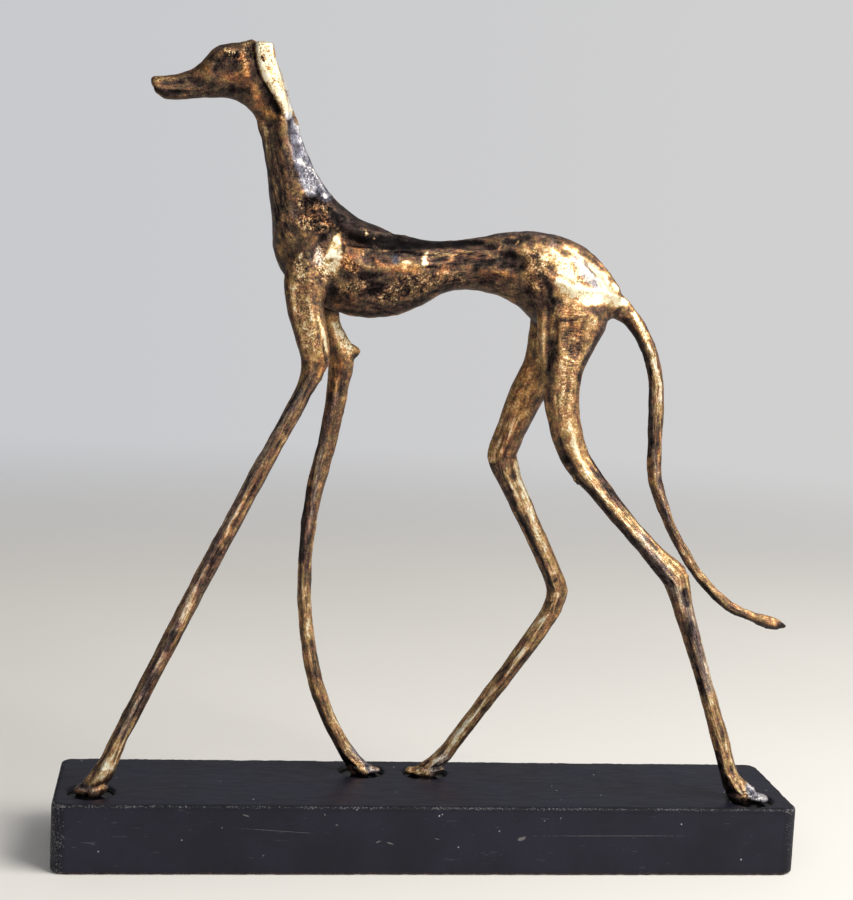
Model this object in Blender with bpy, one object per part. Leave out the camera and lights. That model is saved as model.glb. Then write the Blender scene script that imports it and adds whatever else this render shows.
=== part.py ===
"""A slender cast greyhound walking on a painted wooden block.

The dog looks along -X and turns its left flank to -Y. The origin is at the middle of the block's underside.
Sizes are in millimetres and MM turns them into metres.
"""

import math

import bmesh
import bpy
from mathutils import Vector

MM = 0.001

# The block that the dog stands on
PLINTH_LENGTH = 320.0
PLINTH_DEPTH = 66.0
PLINTH_HEIGHT = 30.0
PLINTH_CORNER = 6.0
PLINTH_EDGE = 1.2
CORNER_STEPS = 5
EDGE_STEPS = 2

# Each foot stands in a drilled hole that is filled almost to the top
HOLE_RADIUS = 10.0
HOLE_DEPTH = 1.6
LEG_END_RADIUS = 3.4
LEG_END_DEPTH = 10.0
LEG_END_CLEARANCE = 0.8
FOOT_CLEARANCE = 0.6
FOOT_LEVEL = PLINTH_HEIGHT - HOLE_DEPTH + FOOT_CLEARANCE
HOLE_SIDES = 28

# The middle of each foot's hole: name, x, y
FEET = {
    "left_front": (-144.5, -15.5),
    "right_front": (-27.0, 17.0),
    "left_hind": (141.5, -20.0),
    "right_hind": (1.5, 15.5),
}

# From nose to tail root, one row for each section through head, neck and trunk:
# the x and z of its upper edge, the x and z of its lower edge, half its width,
# and how much narrower it gets towards the lower edge
BODY = [
    (-128.9, 328.8, -128.1, 326.0, 1.6, 0.1),
    (-127.4, 329.8, -125.9, 321.8, 3.1, 0.1),
    (-124.0, 330.1, -122.4, 320.0, 3.6, 0.2),
    (-118.4, 330.9, -118.0, 320.2, 3.8, 0.2),
    (-112.6, 332.9, -111.6, 320.9, 4.4, 0.2),
    (-108.6, 335.4, -106.2, 321.5, 5.4, 0.25),
    (-105.4, 339.2, -101.0, 321.8, 6.7, 0.3),
    (-102.2, 342.6, -96.4, 321.8, 7.8, 0.35),
    (-97.6, 344.6, -92.0, 321.0, 8.2, 0.35),
    (-91.8, 345.6, -88.8, 319.1, 8.2, 0.3),
    (-86.4, 346.1, -86.3, 316.4, 8.0, 0.25),
    (-80.6, 345.7, -84.4, 313.6, 7.7, 0.2),
    (-78.0, 340.8, -83.5, 310.4, 7.5, 0.15),
    (-74.6, 333.4, -82.5, 307.3, 7.4, 0.1),
    (-68.8, 318.8, -80.9, 300.4, 7.6, 0.1),
    (-63.2, 302.0, -79.0, 288.6, 8.8, 0.1),
    (-54.6, 287.6, -76.6, 273.8, 11.0, 0.1),
    (-43.0, 277.2, -75.0, 258.0, 13.2, 0.15),
    (-34.0, 273.3, -64.6, 243.6, 14.2, 0.3),
    (-25.4, 270.3, -46.0, 234.9, 14.2, 0.45),
    (-17.0, 268.7, -29.6, 233.9, 13.4, 0.5),
    (-7.0, 267.6, -14.4, 238.2, 11.6, 0.45),
    (3.0, 268.6, -1.2, 246.0, 10.0, 0.3),
    (13.4, 270.5, 11.0, 247.2, 9.4, 0.2),
    (24.0, 272.9, 22.4, 244.9, 10.0, 0.15),
    (34.0, 273.6, 31.4, 239.9, 12.0, 0.15),
    (43.6, 272.8, 40.0, 232.8, 14.0, 0.15),
    (53.4, 269.8, 49.0, 229.0, 14.6, 0.15),
    (62.0, 265.0, 57.6, 230.0, 12.8, 0.15),
    (68.9, 257.9, 65.6, 234.0, 9.4, 0.15),
    (74.2, 250.9, 71.2, 238.0, 5.4, 0.1),
]

# Each limb from the trunk outwards, one row for each station on its middle line:
# x, y, z, half its thickness seen from the side, and half its thickness seen from the front
LEFT_FRONT = [
    (-57.0, -6.0, 266.0, 7.0, 5.0),
    (-61.6, -8.6, 251.0, 9.6, 6.0),
    (-61.6, -9.6, 238.0, 8.0, 5.8),
    (-58.8, -10.2, 226.0, 7.2, 5.3),
    (-56.8, -10.8, 216.5, 6.4, 5.0),
    (-58.6, -11.2, 208.4, 4.6, 4.5),
    (-60.8, -11.4, 203.2, 3.8, 4.1),
    (-63.2, -11.6, 198.1, 3.9, 4.0),
    (-78.3, -12.2, 168.0, 3.9, 3.9),
    (-97.7, -13.0, 128.4, 4.0, 3.9),
    (-116.0, -13.8, 89.9, 3.8, 3.7),
    (-132.6, -14.8, 54.7, 3.8, 3.8),
    (-138.2, -15.2, 41.6, 4.2, 4.0),
    (-142.4, -15.5, 33.6, 5.4, 4.6),
    (-145.0, -15.6, 29.6, 6.2, 4.8),
]
RIGHT_FRONT = [
    (-52.0, 5.6, 262.0, 7.0, 5.0),
    (-52.0, 8.4, 244.0, 6.0, 5.4),
    (-50.0, 9.4, 230.0, 4.8, 4.8),
    (-45.4, 10.2, 219.6, 5.8, 4.8),
    (-44.4, 10.8, 210.4, 5.6, 4.6),
    (-45.8, 11.4, 198.0, 4.8, 4.3),
    (-48.7, 12.0, 177.7, 4.3, 4.0),
    (-53.2, 12.8, 157.0, 4.0, 3.8),
    (-56.1, 13.6, 128.1, 3.3, 3.3),
    (-54.6, 14.4, 97.0, 3.3, 3.2),
    (-49.1, 15.2, 70.8, 3.6, 3.4),
    (-43.2, 15.8, 55.6, 3.5, 3.4),
    (-35.7, 16.4, 41.9, 3.6, 3.5),
    (-30.6, 16.8, 34.2, 4.4, 3.9),
    (-27.0, 17.0, 29.8, 5.4, 4.4),
]
LEFT_HIND = [
    (50.4, -4.0, 252.0, 12.0, 7.0),
    (52.0, -8.2, 240.0, 16.0, 7.2),
    (50.2, -9.6, 230.0, 13.8, 6.8),
    (48.6, -10.4, 216.0, 9.4, 6.0),
    (49.0, -10.8, 202.0, 7.9, 5.5),
    (51.6, -11.0, 190.0, 7.0, 5.3),
    (56.8, -11.2, 177.6, 6.6, 5.2),
    (66.4, -11.6, 166.4, 5.2, 4.7),
    (82.9, -12.4, 147.7, 4.5, 4.3),
    (94.7, -13.0, 135.7, 5.0, 4.4),
    (103.0, -13.4, 127.4, 6.0, 4.8),
    (106.8, -13.9, 115.9, 4.7, 4.3),
    (112.7, -14.5, 99.0, 4.1, 4.0),
    (120.0, -15.4, 77.8, 3.8, 3.8),
    (126.5, -16.4, 58.8, 4.1, 4.0),
    (131.6, -17.8, 42.2, 4.0, 4.0),
    (135.0, -19.0, 33.4, 4.4, 4.2),
    (138.4, -19.6, 29.4, 5.6, 4.6),
]
RIGHT_HIND = [
    (47.0, 4.0, 250.0, 11.0, 6.0),
    (46.2, 8.0, 232.0, 9.4, 6.2),
    (43.0, 9.4, 216.0, 7.9, 5.8),
    (37.8, 10.0, 203.0, 7.9, 5.5),
    (31.8, 10.4, 187.0, 6.9, 5.3),
    (28.7, 10.8, 175.6, 7.2, 5.2),
    (32.6, 11.2, 164.4, 5.6, 4.8),
    (40.6, 11.6, 149.5, 4.9, 4.4),
    (50.4, 12.2, 130.0, 4.5, 4.3),
    (56.5, 12.6, 116.4, 4.9, 4.5),
    (54.4, 12.8, 105.4, 4.8, 4.4),
    (43.3, 13.4, 87.5, 4.3, 4.1),
    (24.5, 14.4, 59.4, 3.9, 3.9),
    (10.8, 15.0, 39.6, 3.7, 3.8),
    (5.2, 15.3, 32.6, 4.6, 4.3),
    (1.8, 15.5, 29.6, 5.6, 4.6),
]
TAIL = [
    (66.0, 0.0, 248.0, 7.0, 5.0),
    (72.0, 0.0, 243.8, 5.7, 4.4),
    (80.6, 0.0, 237.4, 4.0, 3.6),
    (88.8, 0.0, 224.6, 3.6, 3.4),
    (92.8, 0.0, 209.0, 3.5, 3.3),
    (93.7, 0.0, 186.0, 3.5, 3.3),
    (95.2, 0.0, 167.8, 3.3, 3.1),
    (103.2, 0.0, 148.0, 2.8, 2.8),
    (117.0, 0.0, 126.4, 2.5, 2.5),
    (132.0, 0.0, 112.6, 2.5, 2.5),
    (144.0, 0.0, 107.6, 2.4, 2.4),
    (147.4, 0.0, 106.4, 3.1, 2.9),
    (155.0, 0.0, 104.4, 3.4, 3.0),
    (157.4, 0.0, 103.8, 1.6, 1.5),
    (159.4, 0.0, 103.2, 1.2, 1.2),
]

# A folded ear lies back along the neck. It is the left one, and the right one mirrors it:
# x, y, z, half its breadth, half its thickness, and how far its front edge turns out in degrees
EAR = [
    (-82.8, -5.4, 345.4, 3.1, 1.5, 8.0),
    (-82.6, -7.0, 342.4, 3.5, 1.9, 14.0),
    (-82.0, -7.5, 338.0, 3.8, 1.9, 18.0),
    (-79.8, -7.4, 332.0, 3.9, 1.8, 22.0),
    (-76.8, -7.0, 326.0, 3.4, 1.7, 24.0),
    (-74.0, -6.6, 320.4, 2.4, 1.5, 24.0),
    (-71.4, -6.2, 315.6, 1.0, 1.0, 24.0),
]

# Bosses at the joints and on the crown, and drips left on the casting:
# x, y, z and the three half sizes
BOSSES = {
    "left_elbow": (-53.6, -11.0, 212.0, 2.4, 2.6, 4.4),
    "right_elbow": (-40.0, 10.4, 218.8, 4.4, 3.2, 2.8),
    "left_hock": (106.0, -13.5, 129.2, 3.4, 3.2, 2.8),
    "right_hock": (58.8, 12.6, 114.4, 3.2, 3.4, 3.4),
    "right_knee": (24.6, 10.8, 175.6, 3.4, 3.8, 3.6),
    "knee_drip": (57.2, -11.0, 168.8, 1.3, 1.4, 1.4),
    "crown": (-87.6, 0.0, 345.0, 2.4, 4.6, 1.8),
}
EYE = (-101.2, 6.6, 337.6, 2.0, 1.5, 1.4)
BROW = (-98.6, 6.4, 340.6, 4.4, 1.8, 1.3)

# The toes spread flat in each foot's hole:
# foot, how far their middle lies from the hole's, its direction in degrees, half their length, width and height
TOES = {
    "left_front": (3.6, 180.0, 4.6, 4.0, 2.2),
    "right_front": (4.6, 0.0, 4.6, 3.4, 1.9),
    "left_hind": (4.4, -8.0, 4.6, 3.8, 2.2),
    "right_hind": (4.6, 176.0, 4.6, 3.8, 2.0),
}
LEGS = {
    "left_front": LEFT_FRONT,
    "right_front": RIGHT_FRONT,
    "left_hind": LEFT_HIND,
    "right_hind": RIGHT_HIND,
}

# How finely the limbs are lofted and fused
RING_STEP = 3.0
BODY_SIDES = 28
LIMB_SIDES = 16
BALL_STEPS = 3
VOXEL = 0.9
FUSE_SMOOTHING = 5
FIGURE_TRIANGLES = 8000

# Finishes: base colour, metallic, roughness
GILDED = ((0.30, 0.19, 0.08, 1.0), 0.75, 0.42)
BLACK_PAINT = ((0.012, 0.012, 0.015, 1.0), 0.0, 0.35)


def clear_scene():
    for item in list(bpy.data.objects):
        bpy.data.objects.remove(item)


def material(name, finish):
    colour, metallic, roughness = finish
    made = bpy.data.materials.new(name)
    made.use_nodes = True
    shader = made.node_tree.nodes["Principled BSDF"]
    shader.inputs["Base Color"].default_value = colour
    shader.inputs["Metallic"].default_value = metallic
    shader.inputs["Roughness"].default_value = roughness
    return made


def object_from(name, shape):
    """Turns a bmesh in millimetres into an object in metres."""
    shape.normal_update()
    bmesh.ops.scale(shape, vec=(MM, MM, MM), verts=shape.verts)
    mesh = bpy.data.meshes.new(name)
    shape.to_mesh(mesh)
    shape.free()
    made = bpy.data.objects.new(name, mesh)
    bpy.context.collection.objects.link(made)
    return made


def on_curve(before, here, there, after, t):
    """One value on the Catmull-Rom curve from here to there."""
    slope = there - before
    bend = 2 * before - 5 * here + 4 * there - after
    twist = 3 * here - before - 3 * there + after
    return 0.5 * (2 * here + slope * t + bend * t ** 2 + twist * t ** 3)


def smooth_rows(rows, gap):
    """Rows on a smooth curve through the given ones, about RING_STEP apart."""
    padded = [rows[0], *rows, rows[-1]]
    out = []
    for four in zip(padded, padded[1:], padded[2:], padded[3:]):
        count = max(1, round(gap(four[1], four[2]) / RING_STEP))
        for i in range(count):
            out.append(tuple(on_curve(*values, i / count) for values in zip(*four)))
    out.append(tuple(rows[-1]))
    return out


def add_loft(shape, rings):
    """Joins rings of points with quads and closes both ends."""
    made = [[shape.verts.new(point) for point in ring] for ring in rings]
    faces = [shape.faces.new(made[0][::-1]), shape.faces.new(made[-1])]
    for ring, following in zip(made, made[1:]):
        for i in range(len(ring)):
            j = (i + 1) % len(ring)
            faces.append(shape.faces.new((ring[i], ring[j], following[j], following[i])))
    bmesh.ops.recalc_face_normals(shape, faces=faces)


def add_body(shape):
    """Head, neck and trunk in one loft, with flattened flanks and a narrow keel."""
    def gap(a, b):
        return max(math.dist(a[0:2], b[0:2]), math.dist(a[2:4], b[2:4]))

    flank = 0.85
    rings = []
    for top_x, top_z, low_x, low_z, half_width, keel in smooth_rows(BODY, gap):
        top = Vector((top_x, 0, top_z))
        low = Vector((low_x, 0, low_z))
        middle, half = (top + low) / 2, (top - low) / 2
        ring = []
        for i in range(BODY_SIDES):
            angle = math.tau * i / BODY_SIDES
            rise, side = math.sin(angle), math.cos(angle)
            narrowing = 1 - keel * ((1 - rise) / 2) ** 2
            out = half_width * math.copysign(abs(side) ** flank, side) * narrowing
            ring.append(middle + half * rise + Vector((0, out, 0)))
        rings.append(ring)
    add_loft(shape, rings)


def add_limb(shape, stations):
    """A leg, the tail or an ear: sections square to its middle line, thick and wide as each station says."""
    rows = smooth_rows(stations, lambda a, b: math.dist(a[:3], b[:3]))
    middles = [Vector(row[:3]) for row in rows]
    rings = []
    for n, row in enumerate(rows):
        thick, wide = row[3:5]
        turn = math.radians(row[5]) if len(row) > 5 else 0.0
        along = (middles[min(n + 1, len(rows) - 1)] - middles[max(n - 1, 0)]).normalized()
        side = Vector((0, 1, 0))
        side = (side - along * side.dot(along)).normalized()
        across = side.cross(along)
        ring = []
        for i in range(LIMB_SIDES):
            angle = math.tau * i / LIMB_SIDES
            forward, out = thick * math.cos(angle), wide * math.sin(angle)
            u = forward * math.cos(turn) + out * math.sin(turn)
            v = out * math.cos(turn) - forward * math.sin(turn)
            ring.append(middles[n] + across * u + side * v)
        rings.append(ring)
    add_loft(shape, rings)


def add_ball(shape, x, y, z, half_x, half_y, half_z, turn=0.0):
    made = bmesh.ops.create_icosphere(shape, subdivisions=BALL_STEPS, radius=1.0)["verts"]
    cos, sin = math.cos(turn), math.sin(turn)
    for vert in made:
        u, v, w = vert.co.x * half_x, vert.co.y * half_y, vert.co.z * half_z
        vert.co = (x + u * cos - v * sin, y + u * sin + v * cos, z + w)


def add_toes(shape, foot):
    reach, direction, length, width, height = TOES[foot]
    x, y = FEET[foot]
    turn = math.radians(direction)
    middle_x, middle_y = x + reach * math.cos(turn), y + reach * math.sin(turn)
    rise = 0.6
    add_ball(shape, middle_x, middle_y, PLINTH_HEIGHT + rise, length, width, height, turn)


def add_leg_end(shape, x, y):
    """The end of a leg that goes down into the block."""
    overlap = 1.0
    rings = []
    for height in (PLINTH_HEIGHT + overlap, PLINTH_HEIGHT - LEG_END_DEPTH + LEG_END_CLEARANCE):
        ring = []
        for i in range(LIMB_SIDES):
            angle = math.tau * i / LIMB_SIDES
            ring.append((x + LEG_END_RADIUS * math.cos(angle), y + LEG_END_RADIUS * math.sin(angle), height))
        rings.append(ring)
    add_loft(shape, rings)


def mirrored(station):
    """The same station on the dog's other side."""
    x, y, z, thick, wide, turn = station
    return (x, -y, z, thick, wide, -turn)


def make_greyhound():
    """Every form of the casting, fused into one skin."""
    shape = bmesh.new()
    add_body(shape)
    for limb in (*LEGS.values(), TAIL, EAR, [mirrored(station) for station in EAR]):
        add_limb(shape, limb)
    for boss in BOSSES.values():
        add_ball(shape, *boss)
    for x, y, z, *half in (EYE, BROW):
        add_ball(shape, x, y, z, *half)
        add_ball(shape, x, -y, z, *half)
    for foot in TOES:
        add_toes(shape, foot)
    for vert in shape.verts:
        vert.co.z = max(vert.co.z, FOOT_LEVEL)
    for leg in LEGS.values():
        x, y = leg[-1][:2]
        add_leg_end(shape, x, y)
    figure = object_from("greyhound", shape)

    fuse = figure.modifiers.new("fuse", "REMESH")
    fuse.mode = "VOXEL"
    fuse.voxel_size = VOXEL * MM
    soften = figure.modifiers.new("soften", "SMOOTH")
    soften.factor = 0.5
    soften.iterations = FUSE_SMOOTHING
    facet = figure.modifiers.new("facet", "DECIMATE")
    facet.decimate_type = "COLLAPSE"
    facet.ratio = facet_ratio(figure, facet)
    figure.data.materials.append(material("gilded_casting", GILDED))
    return figure


def facet_ratio(figure, facet):
    """The share of the fused skin's triangles that leaves the number wanted."""
    facet.show_viewport = False
    bpy.context.view_layer.update()
    fused = figure.evaluated_get(bpy.context.evaluated_depsgraph_get()).to_mesh()
    triangles = sum(len(face.vertices) - 2 for face in fused.polygons)
    facet.show_viewport = True
    return FIGURE_TRIANGLES / triangles


def make_plinth():
    """A block with rounded corners and softened edges, drilled for the four feet."""
    shape = bmesh.new()
    bmesh.ops.create_cube(shape, size=1.0)
    bmesh.ops.scale(shape, vec=(PLINTH_LENGTH, PLINTH_DEPTH, PLINTH_HEIGHT), verts=shape.verts)
    bmesh.ops.translate(shape, vec=(0, 0, PLINTH_HEIGHT / 2), verts=shape.verts)
    upright = [edge for edge in shape.edges if rise_of(edge) > PLINTH_HEIGHT / 2]
    bmesh.ops.bevel(
        shape, geom=upright, offset=PLINTH_CORNER, segments=CORNER_STEPS, profile=0.5, affect="EDGES")
    rim = [edge for edge in shape.edges if rise_of(edge) < PLINTH_EDGE]
    bmesh.ops.bevel(shape, geom=rim, offset=PLINTH_EDGE, segments=EDGE_STEPS, profile=0.5, affect="EDGES")
    plinth = object_from("plinth", shape)
    for foot, (x, y) in FEET.items():
        drill(plinth, foot + "_hole", x, y, HOLE_RADIUS, HOLE_DEPTH)
        end_x, end_y = LEGS[foot][-1][:2]
        drill(
            plinth, foot + "_socket", end_x, end_y,
            LEG_END_RADIUS + LEG_END_CLEARANCE, LEG_END_DEPTH + LEG_END_CLEARANCE)
    plinth.data.materials.append(material("black_paint", BLACK_PAINT))
    return plinth


def rise_of(edge):
    return abs(edge.verts[0].co.z - edge.verts[1].co.z)


def drill(block, name, x, y, radius, depth):
    """Cuts a flat-bottomed round hole down into the block's top."""
    above = 5.0
    shape = bmesh.new()
    bmesh.ops.create_cone(
        shape, cap_ends=True, segments=HOLE_SIDES, radius1=radius, radius2=radius, depth=depth + above)
    bmesh.ops.translate(shape, vec=(x, y, PLINTH_HEIGHT + (above - depth) / 2), verts=shape.verts)
    cutter = object_from(name, shape)
    cutter.hide_render = True
    cutter.display_type = "WIRE"
    cut = block.modifiers.new(name, "BOOLEAN")
    cut.operation = "DIFFERENCE"
    cut.object = cutter


def main():
    clear_scene()
    make_plinth()
    make_greyhound()


main()
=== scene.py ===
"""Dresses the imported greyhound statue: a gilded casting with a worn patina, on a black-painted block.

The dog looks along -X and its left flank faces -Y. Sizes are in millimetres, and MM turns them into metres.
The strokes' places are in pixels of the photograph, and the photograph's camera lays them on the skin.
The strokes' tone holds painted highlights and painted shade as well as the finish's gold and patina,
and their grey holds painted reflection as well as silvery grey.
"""

import math

import bmesh
import bpy
import numpy as np
from bpy.props import FloatProperty, FloatVectorProperty, IntProperty, PointerProperty
from mathutils import Matrix, Vector, noise


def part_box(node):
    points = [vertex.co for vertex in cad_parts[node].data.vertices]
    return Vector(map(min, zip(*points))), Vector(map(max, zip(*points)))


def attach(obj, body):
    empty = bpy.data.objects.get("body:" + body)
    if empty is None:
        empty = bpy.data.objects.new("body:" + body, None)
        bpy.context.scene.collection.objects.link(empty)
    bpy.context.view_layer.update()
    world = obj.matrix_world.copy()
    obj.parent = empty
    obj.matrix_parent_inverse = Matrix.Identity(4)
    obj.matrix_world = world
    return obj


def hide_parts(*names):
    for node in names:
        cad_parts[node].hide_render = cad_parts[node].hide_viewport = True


bl_info = {
    "name": "Greyhound Statue",
    "version": (1, 0, 0),
    "blender": (4, 5, 0),
    "location": "3D View > Sidebar > Greyhound",
    "description": "A slender cast greyhound on a painted block, with a plain studio stage",
    "category": "Add Mesh",
}

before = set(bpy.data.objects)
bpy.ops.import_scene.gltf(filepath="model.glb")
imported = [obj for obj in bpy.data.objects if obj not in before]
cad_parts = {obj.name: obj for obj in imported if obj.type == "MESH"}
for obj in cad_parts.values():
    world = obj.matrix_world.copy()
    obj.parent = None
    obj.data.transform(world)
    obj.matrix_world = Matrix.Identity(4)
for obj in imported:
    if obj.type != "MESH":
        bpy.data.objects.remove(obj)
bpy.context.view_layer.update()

MM = 0.001

# The casting's parts: the middle line of each as x, y, z and its radius
BODY, LEFT_FRONT, RIGHT_FRONT, LEFT_HIND, RIGHT_HIND, TAIL = range(6)
LIMBS = (LEFT_FRONT, RIGHT_FRONT, LEFT_HIND, RIGHT_HIND, TAIL)
MIDDLE_LINES = {
    BODY: [
        (-128, 0, 327, 3.5), (-112, 0, 327, 5.5), (-98, 0, 332, 9.5), (-86, 0, 330, 11), (-77, 0, 312, 9),
        (-71, 0, 292, 9), (-62, 0, 272, 13), (-48, 0, 258, 17), (-28, 0, 253, 18), (-8, 0, 253.5, 15),
        (12, 0, 258.5, 12), (30, 0, 257, 15), (46, 0, 252, 19), (60, 0, 247, 17), (74, 0, 244, 8),
    ],
    LEFT_FRONT: [
        (-60.5, -9.6, 238, 8), (-56.8, -10.8, 216.5, 6), (-58.6, -11.2, 208.4, 4.6), (-63.2, -11.6, 198, 4),
        (-97.7, -13, 128.4, 4), (-132.6, -14.8, 54.7, 3.8), (-138.2, -15.2, 41.6, 4.2), (-143, -15.5, 33, 5),
        (-144.5, -15.5, 22, 5),
    ],
    RIGHT_FRONT: [
        (-50, 9.4, 230, 5), (-45, 10.5, 215, 5.8), (-45.8, 11.4, 198, 4.8), (-48.7, 12, 177.7, 4.3),
        (-53.2, 12.8, 157, 4), (-56.1, 13.6, 128.1, 3.3), (-54.6, 14.4, 97, 3.3), (-49.1, 15.2, 70.8, 3.6),
        (-43.2, 15.8, 55.6, 3.5), (-35.7, 16.4, 41.9, 3.6), (-28, 17, 32, 5), (-27, 17, 22, 5),
    ],
    LEFT_HIND: [
        (50.2, -9.6, 230, 13), (48.6, -10.4, 216, 9.4), (49, -10.8, 202, 7.9), (51.6, -11, 190, 7),
        (56.8, -11.2, 177.6, 6.6), (66.4, -11.6, 166.4, 5.2), (82.9, -12.4, 147.7, 4.5),
        (103, -13.4, 127.4, 6), (106.8, -13.9, 115.9, 4.7), (112.7, -14.5, 99, 4.1),
        (126.5, -16.4, 58.8, 4.1), (131.6, -17.8, 42.2, 4), (138.4, -19.6, 31, 5.6), (141, -20, 22, 5),
    ],
    RIGHT_HIND: [
        (46.2, 8, 232, 9.4), (43, 9.4, 216, 7.9), (37.8, 10, 203, 7.9), (31.8, 10.4, 187, 6.9),
        (28.7, 10.8, 175.6, 7.2), (32.6, 11.2, 164.4, 5.6), (40.6, 11.6, 149.5, 4.9), (50.4, 12.2, 130, 4.5),
        (56.5, 12.6, 116.4, 4.9), (54.4, 12.8, 105.4, 4.8), (43.3, 13.4, 87.5, 4.3), (24.5, 14.4, 59.4, 3.9),
        (10.8, 15, 39.6, 3.7), (3, 15.5, 31, 5.6), (1.5, 15.5, 22, 5),
    ],
    TAIL: [
        (72, 0, 243.8, 5.7), (80.6, 0, 237.4, 4), (88.8, 0, 224.6, 3.6), (92.8, 0, 209, 3.5),
        (93.7, 0, 186, 3.5), (95.2, 0, 167.8, 3.3), (103.2, 0, 148, 2.8), (117, 0, 126.4, 2.5),
        (132, 0, 112.6, 2.5), (144, 0, 107.6, 2.4), (155, 0, 104.4, 3.4), (160, 0, 103, 1.5),
    ],
}

# The outline of the left ear, flat against the neck: x and z from the top round to the back
EAR_OUTLINE = [
    (-86.2, 345.6), (-86.0, 340.9), (-85.4, 337.0), (-83.4, 331.3), (-80.4, 326.7), (-78.0, 322.1),
    (-75.6, 318.0), (-73.2, 315.6), (-70.9, 316.2), (-71.3, 320.9), (-73.2, 326.5), (-75.2, 332.1),
    (-77.2, 337.8), (-79.0, 345.4),
]

# Flat places cut with a knife: x, z, the way each faces, half its length and width, the direction of its
# length in degrees from +X, and how deep it is cut
FACETS = {
    "neck_front": (-76.5, 298.0, (-0.52, -0.85, 0.0), 26.0, 6.0, -78.0, 0.5),
    "neck_rear": (-64.0, 299.0, (0.52, -0.78, 0.32), 17.0, 5.0, -72.0, 0.7),
    "cheek": (-95.0, 333.0, (-0.2, -0.97, 0.1), 8.0, 6.0, -10.0, 0.5),
    "muzzle": (-117.0, 326.0, (-0.08, -0.98, 0.15), 10.0, 3.5, 5.0, 0.3),
    "withers": (-60.0, 275.0, (-0.1, -0.93, 0.35), 9.0, 8.0, -50.0, 0.5),
    "shoulder_blade": (-53.0, 261.5, (-0.06, -0.88, 0.46), 10.0, 6.5, 70.0, 0.9),
    "shoulder_back": (-42.0, 261.0, (0.22, -0.9, 0.38), 9.0, 8.0, -30.0, 0.7),
    "flank_top": (-18.0, 259.0, (0.06, -0.86, 0.5), 17.0, 4.0, -6.0, 0.6),
    "flank_low": (-24.0, 245.0, (0.1, -0.93, -0.36), 16.0, 6.0, 8.0, 0.6),
    "waist": (14.0, 259.0, (0.0, -1.0, 0.08), 16.0, 6.0, 4.0, 0.5),
    "back_top": (-14.0, 266.0, (0.0, -0.55, 0.84), 30.0, 4.0, 0.0, 0.4),
    "rump_top": (54.5, 253.0, (0.2, -0.76, 0.62), 16.0, 12.5, -34.0, 1.0),
    "rump_rear": (65.0, 254.0, (0.55, -0.6, 0.58), 12.0, 5.0, -52.0, 0.8),
    "thigh_side": (53.0, 236.0, (0.12, -0.99, -0.08), 14.0, 8.0, -90.0, 0.6),
}
LEFT_FACETS = {
    "thigh_front": (43.0, 230.0, (-0.62, -0.78, 0.0), 18.0, 3.5, -88.0, 0.6),
    "upper_arm": (-60.0, 238.0, (-0.25, -0.97, 0.0), 16.0, 6.0, -86.0, 0.5),
    "arm_rear": (-51.5, 226.0, (0.65, -0.76, 0.0), 13.0, 2.6, -86.0, 0.5),
}

# The flat sides of a limb: how far down the limb and how high above the table they are pared, the way each
# faces in degrees, from the front round by the right, and its depth as a share of the limb's half width
PARED_ABOVE = 33.0
PARED_FROM = {LEFT_FRONT: 16.0, RIGHT_FRONT: 18.0, LEFT_HIND: 42.0, RIGHT_HIND: 40.0, TAIL: 8.0}
PARED_SIDES = ((-107, 0.17), (-42, 0.16), (-152, 0.1), (98, 0.17), (40, 0.14), (150, 0.12))

# Grooves and ridges drawn over the skin: the part, how deep (or how high, below zero), half the width,
# the side (-1 left, 1 right, 0 both) and the x, z points along it
GROOVES = {
    "mouth": (BODY, 0.75, 0.75, 0, [(-127.0, 324.9), (-121.2, 324.4), (-113.0, 323.3)]),
    "lip": (BODY, -0.3, 0.9, 0, [(-124.0, 322.6), (-116.0, 321.8)]),
    "nostril": (BODY, 0.6, 0.7, 0, [(-127.2, 327.7), (-126.2, 327.9)]),
    "eye_socket": (BODY, 0.7, 1.1, 0, [(-103.4, 336.7), (-101.0, 336.2), (-98.8, 337.0)]),
    "eye_corner": (BODY, 0.6, 0.8, 0, [(-103.6, 338.6), (-104.6, 337.0)]),
    "brow_pit": (BODY, 0.6, 0.9, 0, [(-94.4, 340.4), (-93.2, 339.2)]),
    "brow_ridge": (BODY, -0.4, 1.3, 0, [(-101.0, 340.8), (-96.5, 341.8)]),
    "ear_front": (BODY, 1.0, 0.8, 0, [
        (-87.0, 341.7), (-86.3, 336.7), (-84.2, 331.8), (-80.9, 326.6), (-75.3, 317.8)]),
    "ear_pit": (BODY, 0.8, 0.9, 0, [(-83.6, 341.0), (-82.8, 338.5), (-82.6, 336.4)]),
    "ear_fleck": (BODY, 0.5, 0.7, 0, [(-80.6, 341.8), (-80.0, 339.6)]),
    "neck_ridge": (BODY, 0.35, 1.0, 0, [(-73.5, 310.0), (-70.0, 298.0), (-66.4, 285.1), (-63.3, 275.8)]),
    "blade_edge": (BODY, 0.5, 0.9, 0, [(-47.6, 274.0), (-52.8, 270.0), (-56.8, 262.0), (-57.4, 257.0)]),
    "belly_cut": (BODY, 0.9, 0.6, -1, [(-34.2, 238.7), (-28.0, 237.0), (-21.4, 235.4)]),
    "flank_dent": (BODY, 0.6, 2.2, -1, [(-32.0, 252.5), (-26.0, 253.5)]),
    "flank_step": (BODY, 0.45, 1.0, 0, [(-14.0, 257.2), (0.0, 255.8), (14.0, 256.6), (26.0, 258.0)]),
    "groin": (BODY, 0.7, 1.4, 0, [(37.0, 252.0), (38.0, 245.0), (39.4, 236.7)]),
    "thigh_fold": (LEFT_HIND, 0.5, 1.0, -1, [(43.5, 244.0), (44.6, 228.0), (45.6, 208.0), (47.2, 196.0)]),
    "tail_set": (BODY, 0.5, 1.0, 0, [(71.0, 240.4), (75.4, 243.6)]),
    "arm_fold": (LEFT_FRONT, 0.7, 0.9, -1, [(-51.4, 240.0), (-50.6, 228.0), (-50.2, 218.0)]),
}

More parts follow.
